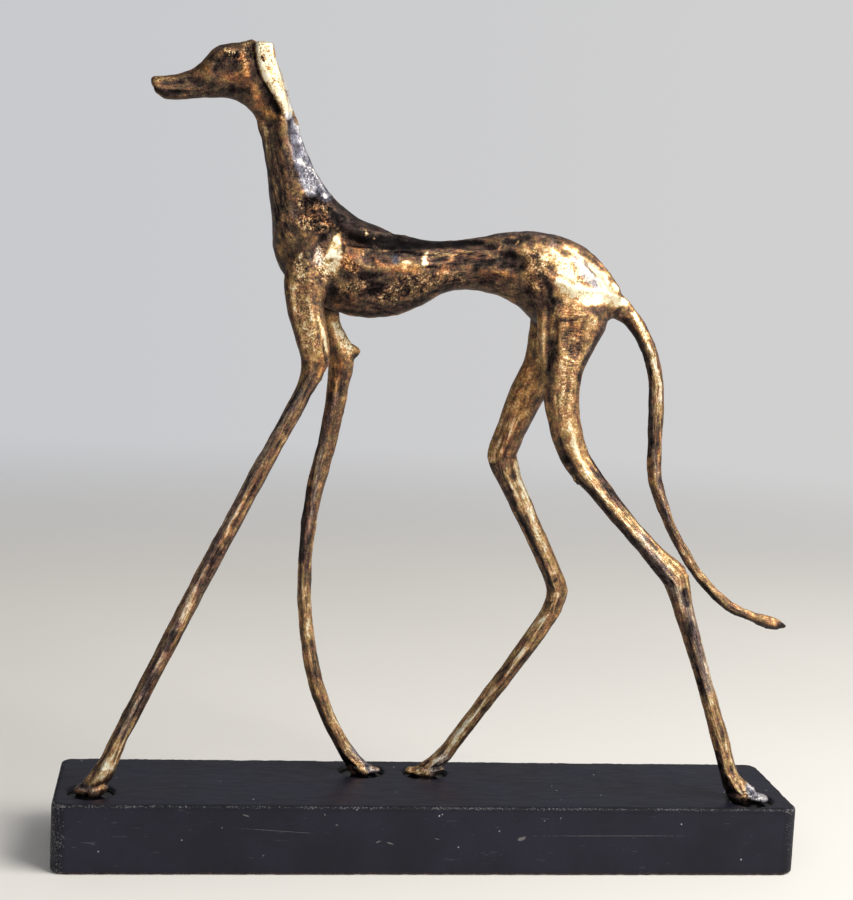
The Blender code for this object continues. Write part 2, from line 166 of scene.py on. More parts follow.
# Crumbled places on the trunk: how rough each is, and the x, z and half widths along it
CRUMBLED = {
    "withers": (1.0, [(-66, 282, 3), (-58, 276, 5), (-50, 272, 4)]),
    "chest": (0.5, [(-60, 258, 5), (-62, 248, 5)]),
    "ribs": (0.5, [(-40, 245, 5), (-18, 247, 7), (0, 252, 3)]),
}
CRUMBLED_SOFTNESS = 6.0

# The feet and the legs' ends are rougher, fully so this far below the top of the rough part
ROUGH_FEET_TOP, ROUGH_FEET_FADE = 46.0, 14.0

# The grain runs along each part: how much it is drawn out, and how far apart the parts' noise lies
GRAIN_SHAPE = (0.14, 1.0, 1.0)
GRAIN_SPACING = 37.0

# Small forms added before the skin is fused: x, y, z, three half sizes, and the turns about Y in degrees
BLOBS = {
    "elbow_knob": (-54.2, -12.4, 211.8, 1.9, 1.8, 3.4, 8),
    "elbow_curl": (-55.0, -13.0, 215.4, 2.2, 1.2, 1.2, -20),
    "far_elbow_tip": (-39.8, 8.6, 219.8, 1.7, 1.8, 1.4, 25),
    "hock_cap": (106.6, -13.8, 129.8, 3.2, 3.4, 2.2, 40),
    "far_hock_cap": (59.8, 12.6, 113.6, 2.2, 3.2, 3.2, 0),
    "knee_drip": (56.5, -13.2, 167.5, 1.7, 1.7, 1.7, 0),
    "tail_wrap_a": (146.8, 0.0, 106.6, 1.7, 3.2, 3.3, 14),
    "tail_wrap_b": (150.6, 0.0, 105.6, 1.6, 3.3, 3.5, 14),
    "tail_wrap_c": (154.2, 0.0, 104.7, 1.5, 3.1, 3.3, 14),
    "tail_bump": (124.4, -1.0, 121.2, 1.0, 1.2, 1.0, 0),
    "left_front_ankle": (-140.6, -16.4, 37.8, 3.3, 4.0, 6.4, 33),
    "left_hind_ankle": (135.4, -19.4, 36.8, 3.4, 4.0, 6.6, -32),
    "left_front_strand_a": (-145.0, -17.2, 35.6, 1.3, 1.5, 7.0, 51),
    "left_front_strand_b": (-142.8, -19.2, 35.9, 1.3, 1.5, 6.8, 40),
    "left_front_strand_c": (-140.4, -19.6, 35.8, 1.1, 1.4, 6.2, 29),
    "left_front_strand_d": (-137.8, -18.8, 35.8, 1.1, 1.4, 5.8, 19),
    "left_hind_strand_a": (141.0, -20.8, 35.8, 1.5, 1.9, 7.9, -49),
    "left_hind_strand_b": (138.2, -23.0, 35.0, 1.2, 1.4, 7.2, -46),
    "left_hind_strand_c": (135.5, -23.2, 35.0, 1.0, 1.3, 6.4, -39),
    "left_hind_toe": (145.4, -20.6, 31.0, 2.6, 3.2, 1.9, 20),
    "right_front_strand_a": (-32.0, 13.2, 35.6, 1.1, 1.3, 6.7, -49),
    "right_front_strand_b": (-29.2, 15.6, 35.5, 1.2, 1.4, 6.6, -49),
    "right_front_toe_a": (-25.8, 13.0, 30.5, 2.4, 1.5, 1.4, 15),
    "right_front_toe_b": (-22.6, 14.8, 30.9, 1.9, 1.7, 1.5, 10),
    "right_front_toe_c": (-19.9, 16.6, 30.7, 1.9, 1.6, 1.2, 0),
    "right_hind_strand_a": (3.3, 12.6, 34.3, 1.2, 1.4, 6.0, 52),
    "right_hind_strand_b": (6.3, 11.6, 34.0, 1.1, 1.3, 5.5, 43),
    "right_hind_strand_c": (9.3, 11.8, 34.2, 1.0, 1.3, 4.7, 35),
    "right_hind_toe_a": (-1.6, 12.8, 30.5, 1.8, 1.5, 1.3, 0),
    "right_hind_toe_b": (2.4, 11.6, 30.2, 1.6, 1.4, 1.2, 0),
}

# How light each part's finish is before any stroke is laid over it: 0 is black, 1 is pale gold
TONE_GROUND = {BODY: 0.42, LEFT_FRONT: 0.46, RIGHT_FRONT: 0.46, LEFT_HIND: 0.54, RIGHT_HIND: 0.52, TAIL: 0.46}

# Brush strokes, placed on the photograph and laid one over another. Each area has the part or parts
# that it lies on. Each stroke has its value, the softness of its edge, and the places along it with half its
# width there, in pixels of the photograph. Tone is how light the surface is drawn: the finish's gold and
# patina, with painted highlights and painted shade laid in among them. Rust is how orange, the grey strokes
# how grey, partly silvery grey and partly painted reflection, crumb how broken, streak how much it is drawn
# out along the part, and comb how finely it is combed
STROKES = {
    # Tone strokes: the gold and the patina, with painted highlights on the ear, the neck, the shoulder blade
    # and the rump, and painted shade, laid in among them
    "tone": {
        "muzzle": (BODY, [
            (0.36, 8, (152, 84, 7), (190, 86, 12), (215, 80, 16), (240, 75, 20)),
            (0.52, 3, (157, 80, 3), (168, 80, 3), (176, 79, 2)),
            (0.07, 3, (158, 90, 2.5), (168, 93, 4), (178, 91, 3)),
            (0.26, 3, (168, 98, 1.5), (200, 97, 2), (225, 97, 2), (242, 101, 2.5)),
            (0.5, 2, (185, 84, 1.5), (189, 84, 1.5)),
            (0.6, 1, (182, 96, 0.6), (186, 94, 0.6), (188, 91, 0.6)),
            (0.42, 6, (205, 74, 7), (222, 78, 6)),
        ]),
        "brow": (BODY, [
            (0.2, 4, (218, 50, 3), (226, 46, 3), (236, 44, 2)),
            (0.04, 2, (217, 55, 0.8), (219, 61, 1.6)),
            (0.5, 3, (227, 49, 1.5), (229, 53, 2.5), (232, 58, 2)),
            (0.06, 1.5, (225, 53, 0.8), (227, 54, 0.8)),
            (0.06, 1.5, (235, 56, 1.2), (238, 51, 1)),
            (0.5, 3, (233, 46, 2), (237, 45, 2)),
            (0.4, 5, (246, 46, 4), (250, 55, 4)),
        ]),
        "ear": (BODY, [
            (0.62, 2, (278, 58, 2.5), (283, 74, 3.5), (288, 90, 3.5), (292, 106, 3), (294, 114, 2.5)),
            (0.9, 1.2, (264, 42, 8.5), (264, 48, 8.5), (266, 60, 8.5), (272, 75, 9.5), (279, 89, 8.5),
                (284, 99, 7.5), (287, 109, 5.5), (289, 116, 3.5)),
            (0.88, 2, (275, 64, 6), (281, 78, 6), (286, 92, 5)),
            (0.3, 3, (261, 54, 1.2), (263, 60, 1.4)),
            (0.5, 2.5, (269, 52, 1.2), (271, 53, 1)),
            (0.6, 3, (268, 66, 0.8), (274, 80, 0.8), (277, 92, 0.8)),
            (0.06, 1.2, (254, 50, 0.6), (256, 62, 0.8), (258, 72, 0.8), (263, 82, 0.9), (269, 91, 1),
                (273, 101, 1.1), (278, 111, 1.3), (283, 116, 0.9)),
            (0.15, 2.5, (269, 101, 1.2), (274, 108, 1.4), (280, 114, 1.2)),
        ]),
        "cheek": (BODY, [
            (0.66, 4, (243, 57, 2), (245, 66, 3.5), (247, 74, 2.5)),
            (0.44, 6, (228, 84, 5), (245, 84, 6)),
            (0.2, 4, (222, 90, 2), (235, 91, 2.5), (250, 92, 2)),
            (0.64, 6, (256, 90, 5), (264, 105, 6), (268, 118, 5)),
            (0.27, 3, (246, 104, 1.5), (252, 111, 1.5), (257, 120, 1.5), (261, 135, 1.5), (266, 165, 2),
                (269, 185, 2)),
        ]),
        "below_ear": (BODY, [
            (0.7, 3, (267, 113, 2), (273, 116, 3), (281, 117, 2)),
            (0.95, 1, (281, 117, 1), (284, 119, 1)),
            (0.06, 2, (267, 125, 1), (271, 126, 1.2)),
        ]),
        "neck_front": (BODY, [
            (0.36, 6, (266, 130, 5), (272, 150, 8), (276, 175, 9), (281, 205, 9), (288, 240, 9)),
            (0.52, 3, (266, 128, 1.5), (267, 146, 1.5)),
            (0.45, 3, (276, 150, 1.5), (276, 178, 2)),
            (0.4, 4, (284, 125, 3), (287, 138, 3)),
            (0.08, 2.5, (277, 133, 0.6), (281, 145, 1.2), (285, 156, 1.8), (289, 170, 1.6),
                (291, 182, 1.2)),
            (0.4, 4, (293, 172, 3), (296, 190, 4), (298, 205, 4)),
        ]),
        "nape": (BODY, [
            (0.44, 4, (291, 124, 4), (298, 140, 6), (304, 156, 7), (312, 174, 9), (320, 190, 9)),
            (0.36, 3, (297, 152, 3), (300, 160, 4)),
            (0.6, 2, (292, 118, 1), (297, 128, 2), (301, 140, 1.6)),
            (0.56, 3, (301, 160, 3), (306, 168, 4), (312, 176, 6), (315, 184, 6)),
            (0.95, 1.5, (300, 161, 2), (304, 164, 2)),
            (0.3, 2, (296, 165, 2), (302, 176, 2)),
        ]),
        "withers": (BODY, [
            (0.1, 5, (305, 202, 4), (318, 199, 4), (327, 203, 4)),
            (0.95, 1.5, (324, 195, 1.6), (327, 198, 1)),
            (0.95, 1, (301, 204, 1)),
            (0.3, 6, (298, 216, 6), (312, 216, 8), (326, 222, 6)),
            (0.85, 1.5, (316, 208, 1.5)),
            (0.1, 4, (318, 227, 2), (316, 233, 4), (322, 237, 3)),
            (0.8, 1.5, (304, 228, 1.2)),
        ]),
        "chest": (BODY, [
            (0.5, 3, (278, 223, 1.4), (280, 240, 2.2), (281, 250, 2)),
            (0.38, 6, (288, 232, 6), (296, 250, 7), (306, 252, 6)),
            (0.22, 3, (275, 250, 1.5), (280, 262, 1.5), (286, 274, 2)),
            (0.6, 4, (295, 262, 3), (300, 272, 5), (304, 284, 7)),
            (0.85, 1.5, (300, 256, 1.4), (303, 252, 1)),
            (0.33, 3, (309, 258, 2.5), (313, 262, 2)),
        ]),
        "shoulder_blade": (BODY, [
            (0.84, 4, (318, 247, 3), (319, 256, 5), (321, 265, 5)),
            (0.98, 2.5, (341, 232, 1.2), (337, 240, 4), (335, 250, 7), (332, 262, 8), (329, 272, 6)),
            (0.93, 2, (339, 258, 4), (337, 266, 4)),
            (0.7, 3, (334, 276, 4)),
            (0.66, 4, (318, 273, 4), (328, 281, 4)),
        ]),
        "shoulder": (BODY, [
            (0.39, 5, (349, 241, 6), (358, 248, 7), (352, 254, 5)),
            (0.25, 3, (344, 246, 2), (358, 247, 2), (372, 248, 2)),
            (0.5, 4, (344, 259, 4), (350, 267, 5), (357, 271, 3)),
            (0.34, 5, (366, 260, 5), (377, 256, 5), (386, 259, 4)),
            (0.8, 1.2, (363, 252, 0.6), (364, 255, 0.8)),
        ]),
        "back": (BODY, [
            (0.16, 3, (331, 200, 4), (345, 212, 5), (360, 221, 5), (378, 230, 5), (400, 237, 4),
                (420, 240, 3.5), (445, 241, 3)),
            (0.02, 3, (330, 210, 3.5), (338, 219, 6), (350, 229, 7.5), (362, 236, 7), (378, 241, 6),
                (395, 245, 6), (410, 247, 6), (425, 246, 4.5), (445, 245, 4), (470, 243, 3), (482, 242, 2)),
            (0.8, 1.2, (366, 232, 0.8), (368, 236, 1.1)),
            (0.7, 1.2, (373, 235, 0.7), (374, 238, 1)),
            (0.7, 1, (360, 230, 0.8)),
        ]),
        "ribs": (BODY, [
            (0.38, 2, (395, 256, 3), (396, 261, 2.5)),
            (0.92, 2.5, (404, 262, 2), (409, 263, 2.5)),
            (1, 2, (427, 253, 1.5), (424, 258, 2.5), (425, 264, 2.5)),
            (0.6, 4, (388, 268, 3), (402, 268, 4), (416, 270, 4)),
            (0.36, 6, (445, 257, 8), (470, 254, 7), (482, 252, 5)),
            (0.46, 3, (453, 257, 1.2), (470, 252, 1.5)),
            (0.54, 4, (424, 273, 4), (440, 274, 5), (452, 273, 4)),
            (0.1, 1.2, (427, 268, 0.5), (436, 264, 0.6), (445, 264, 0.6), (460, 264, 0.6)),
            (0.42, 7, (395, 290, 9), (415, 284, 9), (432, 280, 7)),
        ]),
        "belly": (BODY, [
            (0.08, 5, (362, 274, 4), (372, 279, 6), (376, 286, 5), (366, 292, 4)),
            (0.5, 4, (346, 285, 3), (352, 296, 4)),
            (0.18, 4, (334, 290, 3), (338, 300, 4)),
            (0.38, 5, (365, 301, 5), (388, 300, 6)),
            (0.1, 3, (357, 306, 2.5)),
            (0.12, 3, (402, 293, 2), (410, 290, 2.5)),
            (0.2, 4, (345, 311, 2.5), (375, 315, 2.5), (400, 310, 2.5), (420, 303, 2.5), (436, 292, 2),
                (452, 288, 2)),
            (0.03, 1, (375, 307, 0.6), (384, 310, 0.7), (391, 312, 0.6)),
            (0.2, 5, (457, 281, 4), (462, 285, 2)),
        ]),
        "waist": (BODY, [
            (0.29, 5, (472, 277, 5), (490, 283, 5)),
            (0.27, 5, (484, 249, 4), (500, 249, 5)),
            (0.12, 5, (477, 266, 3), (495, 262, 4), (512, 262, 6), (510, 252, 4)),
            (0.85, 1, (500, 247, 0.7), (499, 251, 0.5), (498, 257, 0.5)),
            (0.26, 3, (480, 235, 4), (500, 231, 4), (515, 229, 4), (540, 230, 3.5), (560, 234, 3),
                (580, 243, 2.5), (600, 257, 2)),
            (0.08, 4, (503, 242, 2.5), (516, 242, 3.5), (528, 238, 2.5)),
            (0.85, 1, (518, 241, 0.7), (517, 244, 0.9)),
            (0.42, 5, (498, 276, 5), (510, 274, 5)),
            (0.55, 2, (514, 275, 1.3), (517, 287, 1)),
        ]),
        "groin": (BODY, [
            (0.28, 6, (530, 286, 4), (524, 295, 6), (533, 303, 6), (540, 312, 4)),
            (0.58, 5, (526, 250, 3), (532, 262, 5), (540, 247, 5), (529, 275, 3)),
            (0.62, 6, (546, 253, 6), (550, 266, 6)),
            (0.12, 3, (530, 256, 1.5), (536, 256, 2.5)),
            (0.15, 2, (521, 267, 2)),
        ]),
        "rump": (BODY, [
            (0.8, 6, (552, 255, 6), (562, 266, 10), (576, 280, 12), (592, 292, 9)),
            (1, 6, (560, 262, 5), (567, 278, 8), (575, 290, 9), (585, 299, 7), (600, 296, 7), (614, 301, 7),
                (624, 302, 4)),
            (0.95, 5, (560, 282, 5), (563, 292, 5), (572, 298, 5)),
            (0.8, 4, (558, 292, 5), (566, 300, 4), (580, 306, 4)),
            (1, 4, (572, 251, 1.5), (587, 262, 3.8), (599, 275, 5.6), (610, 290, 7.4)),
            (0.72, 4, (573, 257, 3), (583, 267, 5.5), (590, 277, 6), (595, 285, 4)),
            (0.3, 3, (556, 237, 2), (574, 243, 1.5), (590, 252, 1.5), (600, 261, 1.2)),
            (0.84, 3, (562, 247, 2), (578, 251, 1.5)),
            (0.38, 4, (549, 240, 2.5), (555, 244, 3), (562, 247, 2)),
        ]),
        "thigh_crease": (BODY, [
            (0.1, 3, (540, 273, 2), (546, 282, 2.5), (550, 291, 2.5), (553, 302, 1.6), (553, 322, 1)),
            (0.78, 2, (533, 284, 1.5), (541, 290, 1.2)),
        ]),
        "thigh_top": ((LEFT_HIND, BODY), [
            (0.56, 5, (568, 312, 8), (576, 326, 11), (572, 345, 12)),
            (0.5, 3, (563, 311, 4)),
            (0.1, 2, (561, 320, 1), (573, 321, 1)),
        ]),
        "thigh": (LEFT_HIND, [
            (0.56, 6, (570, 360, 10), (565, 400, 9), (572, 430, 8)),
            (0.2, 4, (553, 343, 3), (552, 358, 3.5), (548, 375, 3), (549, 400, 2.5)),
        ]),
        "thigh_edges": ((LEFT_HIND, BODY), [
            (0.72, 4, (593, 318, 5), (589, 335, 5)),
            (0.24, 3, (606, 320, 1.5), (598, 338, 2), (590, 350, 1.8), (584, 364, 1.8)),
            (0.6, 4, (545, 310, 2.5), (545, 330, 3.5), (543, 350, 3)),
        ]),
        "thigh_lines": (LEFT_HIND, [
            (0.62, 4, (560, 385, 4), (562, 405, 4)),
            (0.15, 3, (579, 373, 2), (581, 383, 2)),
        ]),
        "upper_arm": (LEFT_FRONT, [
            (0.62, 8, (298, 290, 10), (306, 320, 9), (313, 345, 6), (318, 360, 5)),
            (0.3, 3, (287, 285, 1.5), (290, 315, 1.5), (296, 345, 1.5), (300, 360, 1.5)),
            (0.74, 4, (303, 325, 4), (306, 345, 4)),
            (1, 2.2, (318, 316, 0.8), (322, 328, 1.6), (325, 341, 1.8), (327, 352, 1.2)),
            (0.55, 4, (322, 362, 3), (321, 372, 4)),
            (0.15, 3, (325, 300, 2), (327, 312, 3)),
        ]),
        "far_upper_arm": (RIGHT_FRONT, [
            (0.78, 5, (335, 325, 4), (342, 340, 6), (350, 350, 5)),
            (1, 2, (343, 318, 1), (347, 330, 2), (352, 342, 2)),
            (0.4, 4, (338, 368, 5), (342, 385, 5)),
            (0.14, 3, (325, 380, 1.5), (321, 410, 1.5), (314, 440, 1.5)),
            (0.6, 3, (354, 350, 2)),
        ]),
        "foreleg": (LEFT_FRONT, [
            (0.42, 10, (312, 385, 6), (290, 420, 7), (262, 468, 7), (240, 508, 6)),
            (0.1, 2.5, (309, 372, 1), (296, 395, 0.8), (275, 430, 0.8)),
            (0.68, 6, (246, 494, 2.5), (228, 532, 3)),
            (0.08, 5, (218, 552, 3), (208, 572, 3)),
            (0.72, 6, (196, 590, 3), (182, 618, 3)),
            (0.1, 5, (174, 634, 3), (166, 650, 3)),
            (0.32, 6, (154, 676, 4), (146, 694, 4)),
            (0.72, 8, (133, 722, 4), (115, 758, 6), (100, 780, 8)),
            (0.76, 4, (128, 732, 2), (114, 756, 3), (104, 772, 3)),
        ]),
        "front_foot": (LEFT_FRONT, [
            (0.8, 3, (110, 768, 2), (102, 782, 3)),
            (0.36, 4, (84, 783, 4), (76, 791, 4), (84, 793, 3)),
            (0.6, 1.5, (100, 782, 1.1), (92, 791, 1.1)),
            (0.14, 3, (113, 774, 1.6), (106, 788, 2)),
        ]),
        "far_foreleg": (RIGHT_FRONT, [
            (0.18, 5, (330, 395, 2), (324, 420, 2), (318, 446, 2)),
            (0.34, 6, (333, 400, 3), (320, 450, 3)),
            (0.1, 7, (308, 490, 4), (303, 530, 4), (302, 560, 3)),
            (0.62, 8, (306, 590, 3), (308, 625, 4), (316, 665, 4)),
            (0.3, 5, (312, 640, 2), (320, 675, 3)),
            (0.54, 7, (330, 708, 4), (345, 742, 5), (360, 765, 8)),
        ]),
        "far_front_foot": (RIGHT_FRONT, [
            (0.1, 3, (338, 750, 1.6), (346, 763, 1.8), (352, 770, 1.8)),
            (0.76, 2, (356, 763, 1.2), (363, 768, 1.4)),
            (0.12, 2, (360, 773, 2)),
            (0.85, 1.5, (371, 768, 1.6)),
            (0.08, 2, (383, 771, 1)),
        ]),
        "hind_shin": (LEFT_HIND, [
            (0.66, 3, (580, 470, 1.2), (600, 496, 1.6), (630, 528, 1.6), (662, 558, 3), (676, 568, 4)),
            (0.34, 5, (590, 470, 4), (625, 505, 4)),
            (0.2, 4, (560, 442, 2.5), (566, 460, 3)),
            (0.1, 2, (588, 450, 0.7), (598, 470, 0.7), (613, 493, 0.7), (636, 519, 0.7), (657, 541, 0.7)),
            (0.25, 3, (572, 470, 1.2), (600, 510, 1.2), (640, 556, 1.2), (676, 586, 1.2)),
            (0.8, 4, (568, 420, 3), (575, 442, 4), (583, 460, 4), (592, 480, 3.5), (606, 499, 2.5)),
            (0.74, 3, (646, 545, 2), (662, 558, 3), (678, 574, 3.5)),
            (0.03, 1.5, (577, 479, 1.6), (578, 480, 1.6)),
        ]),
        "hind_shank": (LEFT_HIND, [
            (0.12, 4, (684, 592, 3), (688, 604, 2)),
            (0.28, 7, (688, 625, 5), (696, 660, 5), (704, 690, 4)),
            (0.45, 5, (692, 640, 1.2), (700, 676, 1.2)),
            (0.5, 7, (716, 712, 5), (728, 748, 5), (738, 780, 8)),
        ]),
        "hind_foot": (LEFT_HIND, [
            (0.1, 3, (728, 792, 3), (731, 798, 2)),
            (0.6, 3, (738, 786, 3), (744, 796, 3)),
            (0.03, 3, (716, 752, 1.8), (724, 780, 2.8), (730, 793, 3.4), (735, 800, 3.4), (740, 806, 2.4)),
            (0.5, 3, (745, 791, 4), (754, 798, 5), (762, 802, 5)),
            (0.2, 3, (745, 801, 3.5)),
            (0.04, 3, (730, 795, 3.3), (736, 800, 4), (740, 803, 3.3)),
            (0.04, 1.5, (767, 803, 1.2)),
        ]),
        "far_thigh": (RIGHT_HIND, [
            (0.58, 8, (528, 378, 8), (508, 428, 8)),
            (0.74, 5, (500, 440, 2), (492, 458, 2.5)),
        ]),
        "far_hind_shin": (RIGHT_HIND, [
            (0.72, 6, (512, 482, 3), (524, 510, 3)),
            (0.3, 5, (545, 550, 3), (552, 580, 3)),
            (0.75, 4, (556, 594, 3)),
            (0.06, 2, (552, 583, 1), (556, 580, 1)),
            (0.82, 4, (516, 465, 2.5), (524, 490, 3), (532, 515, 3), (543, 545, 3), (553, 572, 3)),
            (0.72, 3, (500, 450, 2), (512, 452, 2)),
            (0.1, 2, (551, 603, 1.4)),
            (0.1, 2.5, (508, 482, 0.8), (514, 502, 1), (524, 524, 1.2)),
        ]),
        "far_hind_shank": (RIGHT_HIND, [
            (0.66, 7, (545, 618, 4), (520, 655, 4)),
            (0.28, 6, (508, 668, 3), (498, 686, 3)),
            (0.68, 7, (478, 712, 4), (452, 745, 5), (428, 770, 8)),
            (0.74, 4, (470, 722, 1.5), (450, 748, 2), (434, 764, 3)),
        ]),
        "far_hind_foot": (RIGHT_HIND, [
            (0.5, 4, (446, 757, 5), (436, 770, 5)),
            (0.8, 2, (437, 775, 1.5), (434, 778, 1)),
            (0.88, 1.5, (418, 774, 1.2)),
            (0.08, 2, (421, 777, 1)),
            (0.14, 3, (428, 762, 1), (420, 770, 1)),
        ]),
        "tail_root": (TAIL, [
            (0.95, 2.5, (632, 311, 1.8), (645, 334, 1.8), (654, 358, 1.5), (660, 385, 1.2), (661, 400, 1)),
            (0.14, 3, (628, 321, 3.4), (640, 344, 3.2), (649, 372, 3), (650, 410, 2.8), (649, 455, 2.5)),
        ]),
        "tail_middle": (TAIL, [
            (0.32, 6, (657, 420, 2.5), (656, 470, 2.5)),
            (0.3, 4, (664, 510, 2.5), (676, 540, 2)),
            (0.62, 2.5, (684, 552, 1.2), (706, 578, 1.2), (724, 594, 1.2)),
            (0.3, 4, (700, 585, 1), (728, 606, 1.5), (748, 614, 2)),
        ]),
        "tail_tip": (TAIL, [
            (0.48, 3, (758, 614, 4), (770, 620, 4)),
            (0.05, 3, (779, 625, 3), (784, 625, 3)),
        ]),
    },
    "rust": {
        "head": (BODY, [
            (0.6, 4, (203, 66, 3), (209, 70, 3)),
            (0.85, 4, (243, 57, 3), (245, 66, 4), (247, 76, 3)),
            (0.5, 8, (230, 72, 8), (250, 85, 6), (262, 105, 6)),
        ]),
        "ear": (BODY, [
            (0.9, 3, (267, 113, 3), (274, 117, 3), (283, 118, 2)),
        ]),
        "shoulder": (BODY, [
            (0.5, 6, (305, 214, 6), (318, 212, 6), (328, 222, 5)),
            (0.9, 4, (344, 262, 4), (352, 268, 5)),
        ]),
        "ribs": (BODY, [
            (0.8, 5, (349, 241, 6), (358, 248, 7), (350, 256, 5)),
            (0.5, 5, (372, 258, 5), (388, 264, 4)),
            (0.6, 4, (395, 269, 4), (415, 269, 4)),
            (0.4, 8, (440, 272, 5), (460, 258, 6), (480, 256, 5)),
            (0.45, 8, (350, 300, 6), (335, 300, 5)),
        ]),
        "waist": (BODY, [
            (0.6, 6, (480, 276, 6), (502, 276, 6), (514, 276, 4)),
        ]),
        "foreleg": (LEFT_FRONT, [
            (0.5, 4, (326, 300, 3), (328, 314, 3)),
            (0.5, 5, (322, 360, 4), (321, 372, 4)),
            (0.4, 8, (262, 470, 4), (200, 580, 4), (150, 690, 4)),
        ]),
        "rump": (BODY, [
            (0.45, 6, (530, 268, 5), (532, 290, 6)),
        ]),
        "thigh": ((LEFT_HIND, BODY), [
            (0.4, 8, (568, 312, 6), (576, 330, 8)),
        ]),
        "far_foreleg": (RIGHT_FRONT, [
            (0.6, 5, (340, 360, 5), (335, 390, 5), (328, 430, 4)),
            (0.5, 6, (310, 470, 4), (305, 540, 4)),
            (0.6, 3, (356, 763, 1.2), (363, 768, 1.2)),
        ]),
        "far_hind_leg": (RIGHT_HIND, [
            (0.45, 8, (530, 370, 8), (515, 420, 8), (500, 455, 6)),
        ]),
        "tail": (TAIL, [
            (0.6, 4, (622, 314, 4), (632, 324, 3), (640, 335, 2)),
            (0.5, 6, (657, 430, 3), (664, 500, 3), (735, 605, 3)),
        ]),
    },
    # Grey strokes: painted reflection of the room on the neck's rear facet, the back, the ear and the rump,
    # and silvery grey on the feet
    "grey_and_reflection": {
        "neck": (BODY, [
            (1, 4, (290, 127, 2), (294, 142, 4), (299, 158, 6), (306, 176, 7), (312, 190, 7)),
            (1, 3, (297, 152, 3), (301, 161, 4)),
            (0.35, 4, (263, 140, 1.5), (267, 170, 2), (270, 190, 2), (273, 225, 3), (275, 250, 2)),
            (1, 3, (289, 116, 4), (291, 122, 4), (298, 138, 6), (304, 154, 7), (312, 172, 9), (320, 188, 9),
                (328, 198, 5)),
        ]),
        "shoulder": (BODY, [
            (0.5, 4, (312, 258, 2), (315, 263, 2)),
            (0.35, 5, (318, 247, 3), (319, 260, 3)),
            (0.5, 3, (318, 250, 3), (318, 262, 4)),
        ]),
        "ribs": (BODY, [
            (1, 2.5, (395, 256, 3), (396, 261, 2.5)),
        ]),
        "back": (BODY, [
            (0.3, 5, (345, 209, 2), (378, 227, 2.5), (420, 239, 2), (480, 238, 2), (515, 232, 2.5),
                (556, 236, 2)),
        ]),
        "rump": (BODY, [
            (0.8, 4, (574, 258, 2), (583, 267, 4.5), (590, 277, 5.5), (596, 287, 4)),
            (0.3, 4, (553, 243, 4)),
        ]),
        "thigh": ((LEFT_HIND, BODY), [
            (0.3, 3, (606, 320, 1.5), (598, 338, 2), (590, 350, 1.8), (584, 364, 1.8)),
        ]),
        "foreleg": (LEFT_FRONT, [
            (0.35, 8, (300, 392, 3), (270, 440, 3), (225, 525, 3), (160, 660, 3), (120, 735, 3)),
            (0.35, 6, (80, 786, 4), (96, 794, 3)),
        ]),
        "hind_leg": (LEFT_HIND, [
            (0.35, 6, (640, 535, 4), (690, 610, 4), (710, 690, 4)),
            (1, 3, (749, 787, 3.3), (753, 793, 5.3), (757, 798, 7), (764, 801, 8.4)),
        ]),
        "far_foreleg": (RIGHT_FRONT, [
            (0.35, 6, (336, 395, 2), (325, 430, 2), (306, 540, 2)),
            (0.7, 5, (352, 748, 3), (362, 758, 3), (371, 770, 3), (379, 771, 3)),
        ]),
        "tail": (TAIL, [
            (0.3, 5, (651, 390, 2), (652, 450, 2), (668, 520, 2)),
        ]),
        "ear": (BODY, [
            (1, 3, (278, 58, 2), (284, 74, 2.5), (288, 90, 2.5), (292, 106, 2.5)),
        ]),
        "far_hind_leg": (RIGHT_HIND, [
            (0.5, 6, (444, 758, 5), (434, 770, 6), (436, 776, 4)),
        ]),
    },
    "crumb": {
        "head": (BODY, [
            (0.8, 4, (246, 44, 4), (250, 54, 4)),
            (0.6, 4, (228, 50, 4), (234, 56, 4)),
            (0.8, 4, (226, 52, 5), (236, 56, 5), (246, 62, 4)),
        ]),
        "ear": (BODY, [
            (0.5, 4, (262, 50, 5), (270, 55, 4)),
            (0.45, 5, (272, 80, 5), (282, 105, 5)),
            (0.7, 5, (262, 48, 8), (266, 62, 7)),
            (0.5, 5, (274, 82, 8), (284, 104, 7)),
        ]),
        "neck": (BODY, [
            (0.5, 4, (304, 164, 3), (312, 182, 5)),
            (0.35, 3, (303, 162, 3), (310, 174, 6), (314, 186, 6)),
        ]),
        "shoulder": (BODY, [
            (1, 6, (303, 203, 5), (318, 203, 6), (328, 210, 5)),
            (1, 6, (305, 222, 8), (318, 225, 9), (330, 225, 5)),
            (0.8, 5, (318, 250, 4), (320, 262, 5), (324, 276, 5)),
            (0.7, 6, (300, 262, 7), (302, 280, 8)),
            (0.5, 4, (334, 262, 5), (332, 275, 4)),
        ]),
        "ribs": (BODY, [
            (0.9, 4, (345, 260, 5), (355, 270, 5)),
            (0.7, 4, (366, 234, 5), (376, 240, 4), (385, 247, 4)),
            (0.7, 6, (365, 285, 8), (345, 290, 6)),
            (0.8, 8, (385, 295, 9), (410, 286, 10), (432, 280, 7)),
            (0.6, 5, (450, 276, 6), (460, 282, 5)),
        ]),
        "rump": (BODY, [
            (0.5, 6, (535, 258, 8), (535, 285, 8), (545, 268, 6)),
            (0.35, 6, (565, 270, 8), (585, 295, 8)),
        ]),
        "foreleg": (LEFT_FRONT, [
            (0.3, 8, (300, 290, 10), (305, 320, 8), (312, 345, 6)),
        ]),
        "far_foreleg": (RIGHT_FRONT, [
            (0.7, 5, (340, 330, 6), (350, 348, 5)),
        ]),
        "hind_leg": (LEFT_HIND, [
            (0.2, 8, (572, 340, 10), (568, 380, 9), (566, 410, 8)),
            (0.7, 4, (748, 794, 5), (760, 802, 5)),
        ]),
    },
    "streak": {
        "neck": (BODY, [
            (0.7, 8, (265, 130, 8), (272, 165, 9), (280, 205, 9), (288, 235, 9)),
        ]),
